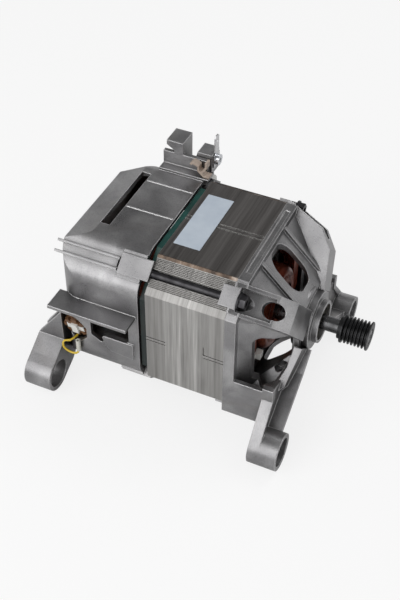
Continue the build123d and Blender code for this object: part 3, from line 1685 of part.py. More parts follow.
# Wire clip on the bracket strip: a foot, a hooked arm and a straight prong
clip_x = bracket_front - clip_foot / 2
clip_floor = bracket_top + seat_gap
clip_middle = clip_floor + clip_thickness / 2
with BuildPart() as wire_clip:
    with BuildSketch(Plane.XZ.offset(-(bracket_near + clip_thickness))):
        with BuildLine():
            Polyline(
                *band(
                    [
                        (bracket_front, clip_middle),
                        (clip_x, clip_middle),
                        (clip_x - clip_foot / 2, clip_middle + clip_rise / 2),
                        (clip_x - clip_foot / 2, clip_middle + clip_rise),
                        (clip_x - clip_foot, clip_middle + clip_rise + clip_thickness),
                        (clip_x - clip_foot - clip_thickness, clip_middle + clip_rise),
                    ],
                    clip_thickness,
                ),
                close=True,
            )
        make_face()
        with BuildLine():
            Polyline(
                *band(
                    [
                        (clip_x - clip_foot / 4, clip_middle + clip_rise / 4),
                        (clip_x + clip_thickness, clip_middle + clip_rise),
                        (clip_x + clip_thickness, clip_middle + clip_rise + clip_foot / 2),
                    ],
                    clip_thickness,
                ),
                close=True,
            )
        make_face()
    extrude(amount=-clip_width)
write(wire_clip, "wire_clip")

# Cable tie round the front head of the left field coil
coil_front = stack_middle + coil_half_x
with BuildPart() as cable_tie:
    with BuildSketch(Plane.XY.offset(tie_level - tie_width / 2)):
        with Locations((coil_front - coil_height / 2, -(coil_inner + coil_depth / 2))):
            RectangleRounded(
                coil_height + 2 * (tie_slack + tie_thickness),
                coil_depth + 2 * (tie_slack + tie_thickness),
                tie_slack + tie_thickness,
            )
            RectangleRounded(
                coil_height + 2 * tie_slack, coil_depth + 2 * tie_slack, tie_slack, mode=Mode.SUBTRACT
            )
    extrude(amount=tie_width)
    with Locations(
        (coil_front + tie_slack + tie_head_depth / 2, -tie_head_reach, tie_level)
    ):
        Box(tie_head_depth, tie_head, tie_head)
write(cable_tie, "cable_tie")

# Thermal protector against the rear head of the right field coil
coil_back = stack_middle - coil_half_x
with BuildPart() as thermal_protector:
    with BuildSketch(Plane.YZ.offset(coil_back - seat_gap)):
        with Locations((coil_inner + coil_depth / 2, 0)):
            RectangleRounded(protector_width, protector_length, protector_width / 4)
    extrude(amount=-protector_thickness)
write(thermal_protector, "thermal_protector")

# Yellow lead of the left brush, in a clear sleeve at its lower end
lead_x = brush_x
lead_z = -half_width * sin(tilt) - octagon_opening / 2
lead_points = (
    (lead_x, -lead_start, lead_z),
    (lead_x, -lead_reach, lead_z),
    (lead_x - lead_loop_back, -lead_reach, lead_z - lead_loop_fall),
    (lead_x - lead_loop_back, -lead_reach, lead_z - lead_loop_drop),
    (lead_x + sleeve_aside, -lead_reach, lead_z - lead_loop_low),
    (lead_x + sleeve_aside, -lead_reach, lead_z - lead_rise),
)
with BuildPart() as yellow_lead:
    with BuildLine() as lead_route:
        FilletPolyline(*lead_points, radius=lead_bend)
    lead_wire = lead_route.wires()[0]
    with BuildSketch(Plane(origin=lead_wire @ 0, z_dir=lead_wire % 0)) as lead_section:
        Circle(lead_diameter / 2)
    sweep(sections=lead_section.sketch, path=lead_wire)
print("yellow_lead length", round(lead_wire.length, 1), "bend radius", lead_bend)
write(yellow_lead, "yellow_lead")

with BuildPart() as lead_sleeve:
    with BuildSketch(Plane.XY.offset(lead_z - lead_rise - sleeve_overlap)):
        with Locations((lead_x + sleeve_aside, -lead_reach)):
            Circle(sleeve_diameter / 2)
            Circle(lead_diameter / 2 + seat_gap, mode=Mode.SUBTRACT)
    extrude(amount=sleeve_length)
write(lead_sleeve, "lead_sleeve")

# Terminal block on the far side wall, with its row of pins
terminal_x = -terminal_middle_setback
terminal_near = half_width + seat_gap
with BuildPart() as terminal_block:
    with BuildSketch(Plane.XZ.offset(-terminal_near)):
        with Locations((terminal_x, terminal_level)):
            RectangleRounded(terminal_width, terminal_height, terminal_wall)
    extrude(amount=-terminal_depth)
    with BuildSketch(Plane.XZ.offset(-(terminal_near + terminal_base))):
        with Locations((terminal_x, terminal_level)):
            RectangleRounded(
                terminal_width - 2 * terminal_wall, terminal_height - 2 * terminal_wall, terminal_wall / 2
            )
    extrude(amount=-terminal_depth, mode=Mode.SUBTRACT)
    with BuildSketch(Plane.XZ.offset(-terminal_near)):
        with GridLocations((terminal_width - 2 * terminal_wall) / pin_count, 1, pin_count, 1):
            with Locations((terminal_x, terminal_level)):
                Rectangle(pin_thickness, pin_width)
    extrude(amount=-terminal_base, mode=Mode.SUBTRACT)
write(terminal_block, "terminal_block")

with BuildPart() as terminal_pins:
    with BuildSketch(Plane.XZ.offset(-terminal_near)):
        with GridLocations((terminal_width - 2 * terminal_wall) / pin_count, 1, pin_count, 1):
            with Locations((terminal_x, terminal_level)):
                Rectangle(pin_thickness - seat_gap, pin_width - seat_gap)
    extrude(amount=-pin_length)
write(terminal_pins, "terminal_pins")
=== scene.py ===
import json
import math
import random

import bpy
from mathutils import Matrix, Vector


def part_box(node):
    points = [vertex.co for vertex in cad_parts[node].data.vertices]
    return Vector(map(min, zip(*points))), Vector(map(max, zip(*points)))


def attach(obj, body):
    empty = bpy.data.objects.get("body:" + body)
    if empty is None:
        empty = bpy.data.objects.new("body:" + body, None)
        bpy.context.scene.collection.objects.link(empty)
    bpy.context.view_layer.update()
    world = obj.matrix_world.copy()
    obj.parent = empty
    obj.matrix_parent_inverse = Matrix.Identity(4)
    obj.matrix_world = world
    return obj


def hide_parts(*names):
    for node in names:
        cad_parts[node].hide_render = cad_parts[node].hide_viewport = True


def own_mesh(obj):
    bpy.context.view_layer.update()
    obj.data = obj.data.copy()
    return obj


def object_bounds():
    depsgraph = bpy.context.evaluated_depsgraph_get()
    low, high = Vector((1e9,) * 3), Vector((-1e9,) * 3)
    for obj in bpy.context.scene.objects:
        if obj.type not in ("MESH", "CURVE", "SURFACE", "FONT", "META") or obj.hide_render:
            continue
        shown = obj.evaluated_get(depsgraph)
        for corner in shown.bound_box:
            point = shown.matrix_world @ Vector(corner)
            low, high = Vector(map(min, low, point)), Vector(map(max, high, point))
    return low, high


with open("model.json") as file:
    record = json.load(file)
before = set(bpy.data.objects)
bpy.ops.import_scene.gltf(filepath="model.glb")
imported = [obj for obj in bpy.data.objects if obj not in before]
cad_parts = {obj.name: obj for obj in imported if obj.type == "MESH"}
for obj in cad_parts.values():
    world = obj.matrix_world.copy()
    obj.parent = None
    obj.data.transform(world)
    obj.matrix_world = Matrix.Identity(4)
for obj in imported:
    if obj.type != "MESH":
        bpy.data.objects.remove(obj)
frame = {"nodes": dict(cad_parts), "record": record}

cad_low, cad_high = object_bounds()

# Camera, fitted to the photograph, in metres in the part's frame
camera_place = Vector((0.10617, -0.48311, 0.48382))
camera_right = Vector((0.9098, 0.415, 0.0073))
camera_up = Vector((-0.2896, 0.6221, 0.7274))
camera_lens = 64.14
sensor_size = 36.0
camera_near = 0.01

# Studio
floor_size = 6.0
floor_gap = 0.0002
room_light = 0.42
sky_levels = ((0.0, 1.0), (0.16, 0.85), (0.42, 0.34), (0.70, 0.16), (1.0, 0.30))
floor_glow_share = 0.80
floor_colour = (0.93, 0.93, 0.93, 1)
soft_boxes = (
    ("key_light", (-0.55, -1.0, 0.62), 1.15, 8.6),
    ("top_light", (0.25, 0.55, 1.0), 0.5, 2.2),
    ("belt_side_light", (1.1, -0.25, 0.40), 1.2, 1.2),
)

# Windings, in metres, degrees and counts
coil_build = 0.0095
coil_corner = 0.016
coil_wire = 0.0012
coil_jitter = 0.00012
corner_steps = 5
end_wire = 0.0011
end_wires_per_slot = 5
end_wire_radius = 0.0285
end_wire_reach_front = 0.016
end_wire_reach_rear = 0.018
end_wire_pitch = 0.16
end_wire_swing = 150
end_wire_wander = 4
end_wire_jitter = 0.0002
end_wire_profile = (
    (0.0, 1.0, -0.05),
    (0.04, 1.01, 0.25),
    (0.14, 1.0, 0.72),
    (0.26, 0.88, 0.99),
    (0.5, 0.62, 1.02),
    (0.74, 0.88, 0.99),
    (0.86, 1.0, 0.72),
    (0.96, 1.01, 0.25),
    (1.0, 1.0, -0.05),
)
slot_total = 24
wire_facets = 1
smooth_steps = 4
random.seed(7)

# Finishes: sample counts, then sizes in metres and patterns in waves for each metre
bevel_samples = 4
corner_samples = 6
cast_edge = 0.0008
cast_corner = 0.012
cast_grain = 1500
cast_cloud = 42
cast_wave = 24
cast_stain = (16, 16, 24)
sheet_fine = (950, 24, 24)
sheet_streak = (300, 7, 7)
sheet_patch = (60, 26, 26)
bead_inner = 0.0399
bead_outer = 0.0420
bead_floor = 0.0523
flat_limit = 0.95
metal_edge = 0.0003
metal_relief = 0.00003
plastic_edge = 0.0004
plastic_relief = 0.00004

# Name, dark colour, light colour, then roughness, metallic share and mark scale where set
metals = (
    ("dark_steel", (0.035, 0.034, 0.037), (0.085, 0.083, 0.088), 0.36, 0.9),
    ("bearing_steel", (0.55, 0.55, 0.56), (0.72, 0.72, 0.73), 0.16),
    ("spring_steel", (0.35, 0.35, 0.36), (0.55, 0.55, 0.56), 0.25),
    ("tinned_steel", (0.60, 0.60, 0.61), (0.74, 0.74, 0.75), 0.28),
    ("zinc_plated", (0.62, 0.64, 0.68), (0.80, 0.82, 0.85), 0.2),
    ("shaft_steel", (0.09, 0.09, 0.092), (0.20, 0.20, 0.205), 0.28),
    ("black_steel", (0.018, 0.018, 0.019), (0.045, 0.045, 0.047), 0.34, 0.8),
    ("rotor_steel", (0.22, 0.21, 0.20), (0.36, 0.35, 0.34), 0.4, 0.9, 1900),
    ("copper", (0.50, 0.24, 0.12), (0.70, 0.40, 0.24), 0.28),
)
# Name, dark colour, light colour, then roughness, grain scale and coat where set
plastics = (
    ("cage_plastic", (0.52, 0.44, 0.27), (0.62, 0.54, 0.36)),
    ("brown_phenolic", (0.10, 0.045, 0.02), (0.20, 0.10, 0.045), 0.5, 500),
    ("white_plastic", (0.70, 0.70, 0.67), (0.80, 0.80, 0.77), 0.4),
    ("carbon", (0.02, 0.02, 0.02), (0.05, 0.05, 0.05), 0.6, 1500),
    ("black_plastic", (0.012, 0.012, 0.013), (0.03, 0.03, 0.032), 0.45),
    ("ferrite", (0.02, 0.02, 0.022), (0.045, 0.045, 0.05), 0.5, 1500),
    ("beige_plastic", (0.42, 0.33, 0.27), (0.52, 0.43, 0.36), 0.5),
    ("yellow_insulation", (0.62, 0.42, 0.02), (0.78, 0.56, 0.05), 0.35, 300, 0.3),
    ("clear_sleeve", (0.55, 0.54, 0.48), (0.66, 0.65, 0.58), 0.25, 300, 0.5),
    ("wedge_fibre", (0.38, 0.29, 0.16), (0.50, 0.40, 0.25), 0.6, 400),
)

# Yellow lead of the near brush
lead_diameter = 0.0016
lead_route = (
    (-0.1740, -0.0460, -0.0248),
    (-0.1740, -0.0626, -0.0248),
    (-0.1826, -0.0626, -0.0270),
    (-0.1826, -0.0626, -0.0360),
    (-0.1705, -0.0626, -0.0370),
    (-0.1705, -0.0626, -0.0298),
)


def make_camera():
    """Camera at the photograph's place, with its long side upright."""
    back = camera_right.cross(camera_up).normalized()
    up = back.cross(camera_right).normalized()
    turned = Matrix((camera_right.normalized(), up, back)).transposed().to_4x4()
    lens = bpy.data.cameras.new("camera")
    lens.sensor_fit = "VERTICAL"
    lens.sensor_height = sensor_size
    lens.lens = camera_lens
    lens.clip_start = camera_near
    camera = bpy.data.objects.new("camera", lens)
    camera.matrix_world = Matrix.Translation(camera_place) @ turned
    bpy.context.scene.collection.objects.link(camera)
    bpy.context.scene.camera = camera


def make_lights():
    """Soft boxes round the object, all aimed at its middle."""
    middle = (cad_low + cad_high) / 2
    for name, place, size, power in soft_boxes:
        lamp = bpy.data.lights.new(name, "AREA")
        lamp.shape = "SQUARE"
        lamp.size = size
        lamp.energy = power
        holder = bpy.data.objects.new(name, lamp)
        holder.location = place
        holder.rotation_euler = (middle - Vector(place)).to_track_quat("-Z", "Y").to_euler()
        bpy.context.scene.collection.objects.link(holder)


def make_world():
    """Even room light, with a white background that metal shows too."""
    world = bpy.data.worlds.new("studio")
    bpy.context.scene.world = world
    world.use_nodes = True
    nodes, links = world.node_tree.nodes, world.node_tree.links
    nodes.clear()
    output = nodes.new("ShaderNodeOutputWorld")
    room = nodes.new("ShaderNodeBackground")
    room.inputs["Color"].default_value = (1.0, 1.0, 1.0, 1.0)
    room.inputs["Strength"].default_value = room_light
    seen = nodes.new("ShaderNodeBackground")
    seen.inputs["Strength"].default_value = 1.0
    way = nodes.new("ShaderNodeTexCoord")
    parts = nodes.new("ShaderNodeSeparateXYZ")
    links.new(way.outputs["Generated"], parts.inputs[0])
    level = nodes.new("ShaderNodeValToRGB")
    elements = level.color_ramp.elements
    while len(elements) < len(sky_levels):
        elements.new(0.5)
    for element, (height, grey) in zip(elements, sky_levels):
        element.position = height
        element.color = (grey, grey, grey, 1)
    links.new(parts.outputs["Z"], level.inputs["Fac"])
    path = nodes.new("ShaderNodeLightPath")
    white = nodes.new("ShaderNodeMix")
    white.data_type = "RGBA"
    links.new(path.outputs["Is Camera Ray"], white.inputs["Factor"])
    links.new(level.outputs["Color"], white.inputs["A"])
    white.inputs["B"].default_value = (1.0, 1.0, 1.0, 1.0)
    links.new(white.outputs["Result"], seen.inputs["Color"])
    either = nodes.new("ShaderNodeMath")
    either.operation = "MAXIMUM"
    links.new(path.outputs["Is Camera Ray"], either.inputs[0])
    links.new(path.outputs["Is Glossy Ray"], either.inputs[1])
    any_clear = nodes.new("ShaderNodeMath")
    any_clear.operation = "MAXIMUM"
    links.new(either.outputs[0], any_clear.inputs[0])
    links.new(path.outputs["Is Transmission Ray"], any_clear.inputs[1])
    mixed = nodes.new("ShaderNodeMixShader")
    links.new(any_clear.outputs[0], mixed.inputs["Fac"])
    links.new(room.outputs[0], mixed.inputs[1])
    links.new(seen.outputs[0], mixed.inputs[2])
    links.new(mixed.outputs[0], output.inputs["Surface"])


def make_floor():
    """Pale floor under the lugs. It keeps the shadow and shows white beyond it."""
    half = floor_size / 2
    level = cad_low.z - floor_gap
    mesh = bpy.data.meshes.new("floor")
    corners = [
        (-half, -half, level),
        (half, -half, level),
        (half, half, level),
        (-half, half, level),
    ]
    mesh.from_pydata(corners, [], [(0, 1, 2, 3)])
    floor = bpy.data.objects.new("floor", mesh)
    bpy.context.scene.collection.objects.link(floor)
    paint = bpy.data.materials.new("floor")
    paint.use_nodes = True
    nodes, links = paint.node_tree.nodes, paint.node_tree.links
    nodes.clear()
    output = nodes.new("ShaderNodeOutputMaterial")
    matt = nodes.new("ShaderNodeBsdfDiffuse")
    matt.inputs["Color"].default_value = floor_colour
    glow = nodes.new("ShaderNodeEmission")
    glow.inputs["Strength"].default_value = 1.0
    path = nodes.new("ShaderNodeLightPath")
    share = nodes.new("ShaderNodeMath")
    share.operation = "MULTIPLY"
    share.inputs[1].default_value = floor_glow_share
    links.new(path.outputs["Is Camera Ray"], share.inputs[0])
    mixed = nodes.new("ShaderNodeMixShader")
    links.new(share.outputs[0], mixed.inputs["Fac"])
    links.new(matt.outputs[0], mixed.inputs[1])
    links.new(glow.outputs[0], mixed.inputs[2])
    links.new(mixed.outputs[0], output.inputs["Surface"])
    floor.data.materials.append(paint)


class Paint:
    """One node material, with short ways to add the nodes that repeat."""

    def __init__(self, name, metallic, roughness):
        self.material = bpy.data.materials.new(name)
        self.material.use_nodes = True
        self.nodes = self.material.node_tree.nodes
        self.links = self.material.node_tree.links
        self.shader = self.nodes["Principled BSDF"]
        self.shader.inputs["Metallic"].default_value = metallic
        self.shader.inputs["Roughness"].default_value = roughness
        self.place = self.nodes.new("ShaderNodeTexCoord").outputs["Object"]
        self.normal = None

    def noise(self, scale, detail=3.0, rough=0.55, twist=0.0):
        """Noise in the part's frame. scale is one number or three, in waves for each metre."""
        stretch = self.nodes.new("ShaderNodeMapping")
        stretch.inputs["Scale"].default_value = scale if isinstance(scale, tuple) else (scale,) * 3
        self.links.new(self.place, stretch.inputs["Vector"])
        pattern = self.nodes.new("ShaderNodeTexNoise")
        pattern.inputs["Scale"].default_value = 1.0
        pattern.inputs["Detail"].default_value = detail
        pattern.inputs["Roughness"].default_value = rough
        pattern.inputs["Distortion"].default_value = twist
        self.links.new(stretch.outputs[0], pattern.inputs["Vector"])
        return pattern.outputs[0]

    def ramp(self, value, stops):
        """Colours or levels along a value, from a list of (position, colour)."""
        ramp = self.nodes.new("ShaderNodeValToRGB")
        elements = ramp.color_ramp.elements
        while len(elements) < len(stops):
            elements.new(0.5)
        for element, (position, colour) in zip(elements, stops):
            element.position = position
            element.color = (*colour, 1) if isinstance(colour, tuple) else (colour,) * 3 + (1,)
        self.links.new(value, ramp.inputs["Fac"])
        return ramp.outputs["Color"]

    def math(self, kind, first, second):
        """One calculation on two values, each a socket or a number."""
        node = self.nodes.new("ShaderNodeMath")
        node.operation = kind
        node.use_clamp = kind in ("MULTIPLY", "ADD")
        for index, value in enumerate((first, second)):
            if isinstance(value, (int, float)):
                node.inputs[index].default_value = value
            else:
                self.links.new(value, node.inputs[index])
        return node.outputs[0]

    def mix(self, share, first, second):
        """Blend of two colours, each a socket or a colour."""
        node = self.nodes.new("ShaderNodeMix")
        node.data_type = "RGBA"
        self.links.new(share, node.inputs["Factor"])
        for name, colour in (("A", first), ("B", second)):
            if isinstance(colour, tuple):
                node.inputs[name].default_value = (*colour, 1)
            else:
                self.links.new(colour, node.inputs[name])
        return node.outputs["Result"]

    def rounded(self, radius):
        """Light on edges as if they were rounded, and a mask that is 1 on them, which the finishes
        use to paint highlights.
        """
        bevel = self.nodes.new("ShaderNodeBevel")
        bevel.samples = bevel_samples
        bevel.inputs["Radius"].default_value = radius
        geometry = self.nodes.new("ShaderNodeNewGeometry")
        dot = self.nodes.new("ShaderNodeVectorMath")
        dot.operation = "DOT_PRODUCT"
        self.links.new(bevel.outputs[0], dot.inputs[0])
        self.links.new(geometry.outputs["True Normal"], dot.inputs[1])
        self.normal = bevel.outputs[0]
        return self.ramp(dot.outputs["Value"], [(0.80, 1.0), (0.97, 0.0)])

    def hidden(self, distance):
        """Mask from ambient occlusion, 1 deep in corners and pockets and 0 on open faces, used to
        paint shade there.
        """
        shade = self.nodes.new("ShaderNodeAmbientOcclusion")
        shade.samples = corner_samples
        shade.inputs["Distance"].default_value = distance
        return self.ramp(shade.outputs["AO"], [(0.35, 1.0), (0.85, 0.0)])

    def bump(self, height, distance, strength=1.0):
        """Relief of a height in metres, on top of what is there."""
        node = self.nodes.new("ShaderNodeBump")
        node.inputs["Distance"].default_value = distance
        node.inputs["Strength"].default_value = strength
        self.links.new(height, node.inputs["Height"])
        if self.normal is not None:
            self.links.new(self.normal, node.inputs["Normal"])
        self.normal = node.outputs[0]

    def finish(self, colour, roughness=None):
        """Joins the colour, roughness and relief to the shader."""
        self.links.new(colour, self.shader.inputs["Base Color"])
        if roughness is not None:
            self.links.new(roughness, self.shader.inputs["Roughness"])
        if self.normal is not None:
            self.links.new(self.normal, self.shader.inputs["Normal"])
        return self.material


def cast_aluminium():
    """Satin die casting: fine grain, flow marks, stains, painted shade darkening the corners, and
    bright edges that are partly wear and partly painted highlight.
    """
    paint = Paint("cast_aluminium", 0.88, 0.40)
    edge = paint.rounded(cast_edge)
    grain = paint.noise(cast_grain, 2.0, 0.6)
    cloud = paint.noise(cast_cloud, 3.0, 0.5, 0.4)
    stain = paint.noise(cast_stain, 4.0, 0.6, 1.0)
    wave = paint.noise(cast_wave, 2.0, 0.45)
    base = paint.ramp(
        cloud,
        [(0.28, (0.215, 0.212, 0.217)), (0.50, (0.315, 0.311, 0.316)), (0.72, (0.47, 0.465, 0.47))],
    )
    base = paint.mix(paint.ramp(stain, [(0.54, 0.0), (0.72, 0.5)]), base, (0.27, 0.25, 0.235))
    speck = paint.ramp(grain, [(0.36, 0.40), (0.50, 0.0)])
    base = paint.mix(speck, base, (0.15, 0.15, 0.155))
    # Painted shade: corners and pockets darkened towards near black by ambient occlusion.
    painted_corner_shade = paint.math("MULTIPLY", paint.hidden(cast_corner), 0.65)
    base = paint.mix(painted_corner_shade, base, (0.075, 0.073, 0.072))
    # Painted highlight, with some wear: edges lightened towards near white.
    base = paint.mix(paint.math("MULTIPLY", edge, 0.75), base, (0.86, 0.855, 0.86))
    cloud_part = paint.math("MULTIPLY", cloud, 0.6)
    level = paint.math("ADD", cloud_part, paint.math("MULTIPLY", grain, 0.4))
    rough = paint.ramp(level, [(0.3, 0.25), (0.7, 0.44)])
    paint.bump(wave, 0.0012, 0.35)
    paint.bump(cloud, 0.0002, 0.4)
    paint.bump(grain, 0.00010, 0.9)
    return paint.finish(base, rough)


def green_insulator():
    """Moulded teal insulator, with painted shade that makes it nearly black below its upper edge,
    and painted highlights on its edges.
    """
    paint = Paint("green_insulator", 0.0, 0.42)
    edge = paint.rounded(0.0004)
    cloud = paint.noise(120, 4.0, 0.6)
    axis = paint.nodes.new("ShaderNodeSeparateXYZ")
    paint.links.new(paint.place, axis.inputs[0])
    level = paint.nodes.new("ShaderNodeMapRange")
    low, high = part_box("rear_coil_insulator")
    level.inputs["From Min"].default_value = low.z
    level.inputs["From Max"].default_value = high.z
    paint.links.new(axis.outputs["Z"], level.inputs["Value"])
    share = paint.ramp(cloud, [(0.32, 0.0), (0.68, 1.0)])
    teal = paint.mix(share, (0.003, 0.040, 0.034), (0.006, 0.085, 0.070))
    # Painted shade: darker with falling height, nearly black below the upper edge.
    shade = paint.ramp(level.outputs[0], [(0.80, 0.92), (0.94, 0.0)])
    base = paint.mix(shade, teal, (0.006, 0.008, 0.008))
    # Painted highlight: edges lightened.
    base = paint.mix(paint.math("MULTIPLY", edge, 0.25), base, (0.02, 0.13, 0.11))
    rough = paint.ramp(cloud, [(0.3, 0.36), (0.7, 0.52)])
    paint.bump(cloud, 0.00004, 0.5)
    return paint.finish(base, rough)


def laminations():
    """Ground pack of sheets: streaks, light middle band, bronze edge beads with painted highlights,
    painted shade darkening the flat top, and painted highlights on edges.
    """
    paint = Paint("laminated_steel", 0.75, 0.42)
    edge = paint.rounded(0.0003)
    fine = paint.noise(sheet_fine, 2.0, 0.6)
    streak = paint.noise(sheet_streak, 3.0, 0.55)
    patch = paint.noise(sheet_patch, 3.0, 0.6)
    fine_part = paint.math("MULTIPLY", fine, 0.35)
    streak_part = paint.math("MULTIPLY", streak, 0.65)
    level = paint.math("ADD", fine_part, streak_part)
    base = paint.ramp(
        level,
        [(0.34, (0.25, 0.243, 0.235)), (0.50, (0.40, 0.392, 0.38)), (0.64, (0.58, 0.57, 0.555))],
    )
    base = paint.mix(paint.ramp(patch, [(0.42, 0.0), (0.68, 0.4)]), base, (0.46, 0.455, 0.445))
    axis = paint.nodes.new("ShaderNodeSeparateXYZ")
    paint.links.new(paint.place, axis.inputs[0])
    low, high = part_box("stator_core")
    along = paint.nodes.new("ShaderNodeMapRange")
    along.inputs["From Min"].default_value = low.x
    along.inputs["From Max"].default_value = high.x
    paint.links.new(axis.outputs["X"], along.inputs["Value"])
    ends = paint.ramp(
        along.outputs[0],
        [(0.0, 0.75), (0.22, 0.55), (0.27, 0.0), (0.70, 0.0), (0.76, 0.45), (1.0, 0.75)],
    )
    base = paint.mix(paint.math("MULTIPLY", ends, 0.6), base, (0.22, 0.213, 0.205))
    # Painted shade: faces that point up or down get a darker colour than the sides.
    geometry = paint.nodes.new("ShaderNodeNewGeometry")
    facing = paint.nodes.new("ShaderNodeSeparateXYZ")
    paint.links.new(geometry.outputs["Normal"], facing.inputs[0])
    upright = paint.math("ABSOLUTE", facing.outputs["Z"], 0.0)
    flat = paint.math("GREATER_THAN", upright, flat_limit)
    painted_dark_flat_faces = paint.ramp(level, [(0.34, (0.098, 0.091, 0.087)), (0.64, (0.18, 0.171, 0.165))])
    base = paint.mix(flat, base, painted_dark_flat_faces)
    aside = paint.math("ABSOLUTE", axis.outputs["Y"], 0.0)
    height = paint.math("ABSOLUTE", axis.outputs["Z"], 0.0)
    past_inner = paint.math("GREATER_THAN", aside, bead_inner)
    short_of_outer = paint.math("LESS_THAN", aside, bead_outer)
    bead = paint.math("MULTIPLY", past_inner, short_of_outer)
    bead = paint.math("MULTIPLY", bead, paint.math("GREATER_THAN", height, bead_floor))
    # Bead tone mottled at random from dark bronze to pale; the pale patches are painted highlights.
    bead_mottle_and_glint = paint.noise((110, 40, 40), 3.0, 0.6)
    bronze = paint.ramp(
        bead_mottle_and_glint,
        [(0.36, (0.07, 0.052, 0.042)), (0.52, (0.20, 0.145, 0.110)), (0.66, (0.52, 0.44, 0.38))],
    )
    base = paint.mix(bead, base, bronze)
    # Painted highlight: edges lightened.
    base = paint.mix(paint.math("MULTIPLY", edge, 0.4), base, (0.74, 0.73, 0.71))
    rough = paint.ramp(streak, [(0.3, 0.32), (0.7, 0.50)])
    paint.bump(fine, 0.00008, 0.5)
    return paint.finish(base, rough)


def metal(name, dark, light, roughness=0.3, metallic=1.0, scale=700):
    """Turned, plated or ground metal with fine marks and painted highlights on its edges."""
    paint = Paint(name, metallic, roughness)
    edge = paint.rounded(metal_edge)
    marks = paint.noise((scale, scale * 0.25, scale * 0.25), 3.0, 0.6)
    cloud = paint.noise(90, 3.0, 0.6)
    base = paint.mix(paint.ramp(cloud, [(0.35, 0.0), (0.65, 1.0)]), dark, light)
    # Painted highlight: edges lightened.
    bright = tuple(min(1.0, 1.35 * channel + 0.05) for channel in light)
    base = paint.mix(paint.math("MULTIPLY", edge, 0.5), base, bright)
    rough = paint.ramp(marks, [(0.3, max(roughness - 0.08, 0.05)), (0.7, roughness + 0.12)])
    paint.bump(marks, metal_relief, 0.6)
    return paint.finish(base, rough)


def plastic(name, dark, light, roughness=0.45, scale=900, coat=0.0):
    """Moulded plastic with faint mottling, a fine grain and painted highlights on its edges."""
    paint = Paint(name, 0.0, roughness)
    paint.shader.inputs["Coat Weight"].default_value = coat
    edge = paint.rounded(plastic_edge)
    grain = paint.noise(scale, 2.0, 0.6)
    cloud = paint.noise(120, 4.0, 0.6)
    base = paint.mix(paint.ramp(cloud, [(0.32, 0.0), (0.68, 1.0)]), dark, light)
    # Painted highlight: edges lightened.
    pale = tuple(min(1.0, channel * 1.2 + 0.02) for channel in light)
    base = paint.mix(paint.math("MULTIPLY", edge, 0.35), base, pale)
    rough = paint.ramp(cloud, [(0.3, roughness - 0.06), (0.7, roughness + 0.10)])
    paint.bump(grain, plastic_relief, 0.5)
    return paint.finish(base, rough)


def enamelled_copper():
    """Varnished winding wire, red-brown with darker varnish in places."""
    paint = Paint("enamelled_copper", 0.55, 0.34)
    paint.shader.inputs["Coat Weight"].default_value = 0.2
    paint.shader.inputs["Coat Roughness"].default_value = 0.3
    cloud = paint.noise(160, 4.0, 0.6)
    varnish = paint.noise(45, 3.0, 0.6)
    base = paint.ramp(
        cloud,
        [(0.30, (0.15, 0.026, 0.013)), (0.55, (0.29, 0.062, 0.030)), (0.75, (0.46, 0.150, 0.080))],
    )
    base = paint.mix(paint.ramp(varnish, [(0.50, 0.0), (0.72, 0.6)]), base, (0.07, 0.015, 0.009))
    paint.bump(cloud, 0.00005, 0.5)
    return paint.finish(base)


def label_film():
    """Blank satin film, pale blue-grey, faintly mottled."""
    paint = Paint("label_film", 0.0, 0.38)
    cloud = paint.noise(70, 3.0, 0.6)
    wave = paint.noise((30, 14, 30), 2.0, 0.5)
    share = paint.ramp(cloud, [(0.3, 0.0), (0.7, 1.0)])
    base = paint.mix(share, (0.50, 0.57, 0.66), (0.58, 0.65, 0.73))
    rough = paint.ramp(cloud, [(0.3, 0.32), (0.7, 0.46)])
    paint.bump(wave, 0.0002, 0.4)
    return paint.finish(base, rough)


def make_paints():
    """Every finish, by its name in the record."""
    paints = {
        "cast_aluminium": cast_aluminium(),
        "laminated_steel": laminations(),
        "green_insulator": green_insulator(),
        "enamelled_copper": enamelled_copper(),
        "label_film": label_film(),
    }
    for name, *settings in metals:
        paints[name] = metal(name, *settings)
    for name, *settings in plastics:
        paints[name] = plastic(name, *settings)
    return paints


def paint_nodes(paints):
    """Gives every CAD node the finish that the record names for it."""
    for row in frame["record"]["subparts"]:
        node = frame["nodes"][row["node"]]
        node.data.materials.clear()
        node.data.materials.append(paints[row["material_slot"]])


def wire_piece(name, runs, diameter, body, slot, paints, smooth=False):
    """One piece of round wires, each run a list of points."""
    curve = bpy.data.curves.new(name, "CURVE")
    curve.dimensions = "3D"
    curve.bevel_depth = diameter / 2
    curve.bevel_resolution = wire_facets
    curve.use_fill_caps = True
    for run in runs:
        line = curve.splines.new("NURBS" if smooth else "POLY")
        line.points.add(len(run) - 1)
        for point, place in zip(line.points, run):
            point.co = (*place, 1)
        if smooth:
            line.order_u = 3
            line.use_endpoint_u = True
            line.resolution_u = smooth_steps
    curve.materials.append(paints[slot])
    piece = bpy.data.objects.new(name, curve)
    bpy.context.scene.collection.objects.link(piece)
    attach(piece, body)
    return piece


def racetrack(half_x, half_z, corner):
    """Points once round a rounded rectangle, from the middle of its rear end."""
    points = [(-half_x, 0.0)]
    centres = ((-1, 1, 180, 90), (1, 1, 90, 0), (1, -1, 0, -90), (-1, -1, -90, -180))
    for side_x, side_z, start, end in centres:
        for step in range(corner_steps + 1):
            angle = math.radians(start + (end - start) * step / corner_steps)
            x = side_x * (half_x - corner) + corner * math.cos(angle)
            z = side_z * (half_z - corner) + corner * math.sin(angle)
            points.append((x, z))
    return points


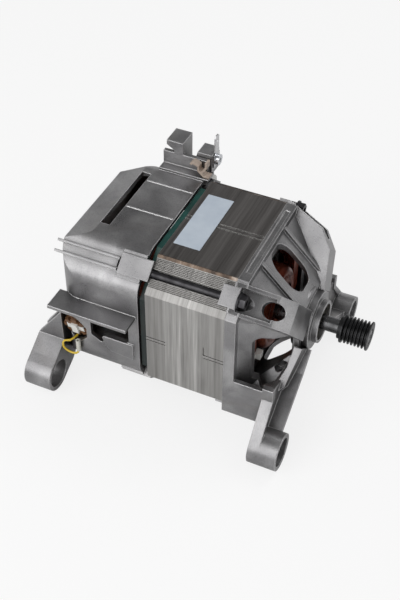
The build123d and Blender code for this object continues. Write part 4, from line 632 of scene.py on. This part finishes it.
def field_winding(name, node, paints):
    """Layers of fine loops in the space of one field coil, wound as one wire."""
    low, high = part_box(node)
    middle_x = (low.x + high.x) / 2
    half_x = (high.x - low.x) / 2
    half_z = (high.z - low.z) / 2
    layers = int(coil_build / coil_wire)
    loops = int((high.y - low.y) / coil_wire)
    run = []
    for layer in range(layers):
        inset = coil_wire * (layer + 0.5)
        lap = racetrack(half_x - inset, half_z - inset, coil_corner - inset)
        for loop in range(loops):
            wander = random.uniform(-coil_jitter, coil_jitter)
            for index, (x, z) in enumerate(lap):
                travelled = (loop + index / len(lap)) / loops
                across = travelled if layer % 2 == 0 else 1 - travelled
                y = low.y + coil_wire / 2 + across * (high.y - low.y - coil_wire)
                bend = 1 - abs(wander) / half_z
                run.append((middle_x + x * bend, y + wander, z * bend))
    piece = wire_piece(name, [run], coil_wire, "stator", "enamelled_copper", paints)
    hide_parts(node)


def armature_wires(name, face_x, reach, paints):
    """Wires that cross from slot to slot over one end of the armature."""
    outward = math.copysign(1, reach)
    runs = []
    for slot in range(slot_total):
        for wire in range(end_wires_per_slot):
            start = math.tau * (slot + (wire - 2) * end_wire_pitch) / slot_total
            wander = random.uniform(-end_wire_wander, end_wire_wander)
            swing = outward * math.radians(end_wire_swing + wander)
            run = []
            for share, radius_share, out in end_wire_profile:
                angle = start + swing * share
                jitter = random.uniform(-end_wire_jitter, end_wire_jitter)
                radius = end_wire_radius * radius_share + jitter
                x = face_x + reach * out
                run.append((x, radius * math.cos(angle), radius * math.sin(angle)))
            runs.append(run)
    wire_piece(name, runs, end_wire, "rotor", "enamelled_copper", paints, smooth=True)


def pressed_spring(side, paints):
    """Copy of one brush spring with its own mesh, in spring steel, in place of the original."""
    mesh = frame["nodes"]["brush_spring_" + side].data.copy()
    piece = bpy.data.objects.new("pressed_spring_" + side, mesh)
    bpy.context.scene.collection.objects.link(piece)
    piece.data.materials.clear()
    piece.data.materials.append(paints["spring_steel"])
    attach(piece, "stator")
    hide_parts("brush_spring_" + side)
    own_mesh(piece)


make_camera()
make_lights()
make_world()
make_floor()
paints = make_paints()
paint_nodes(paints)
for place in ("right", "left"):
    field_winding("field_winding_" + place, "field_coil_" + place, paints)
lead = wire_piece(
    "yellow_wire",
    [lead_route],
    lead_diameter,
    "stator",
    "yellow_insulation",
    paints,
    smooth=True,
)
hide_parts("yellow_lead")
pressed_spring("left", paints)
pressed_spring("right", paints)
core_low, core_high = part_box("armature_core")
armature_wires("armature_end_wires_front", core_high.x, end_wire_reach_front, paints)
armature_wires("armature_end_wires_rear", core_low.x, -end_wire_reach_rear, paints)

bpy.context.scene.view_settings.view_transform = "Standard"
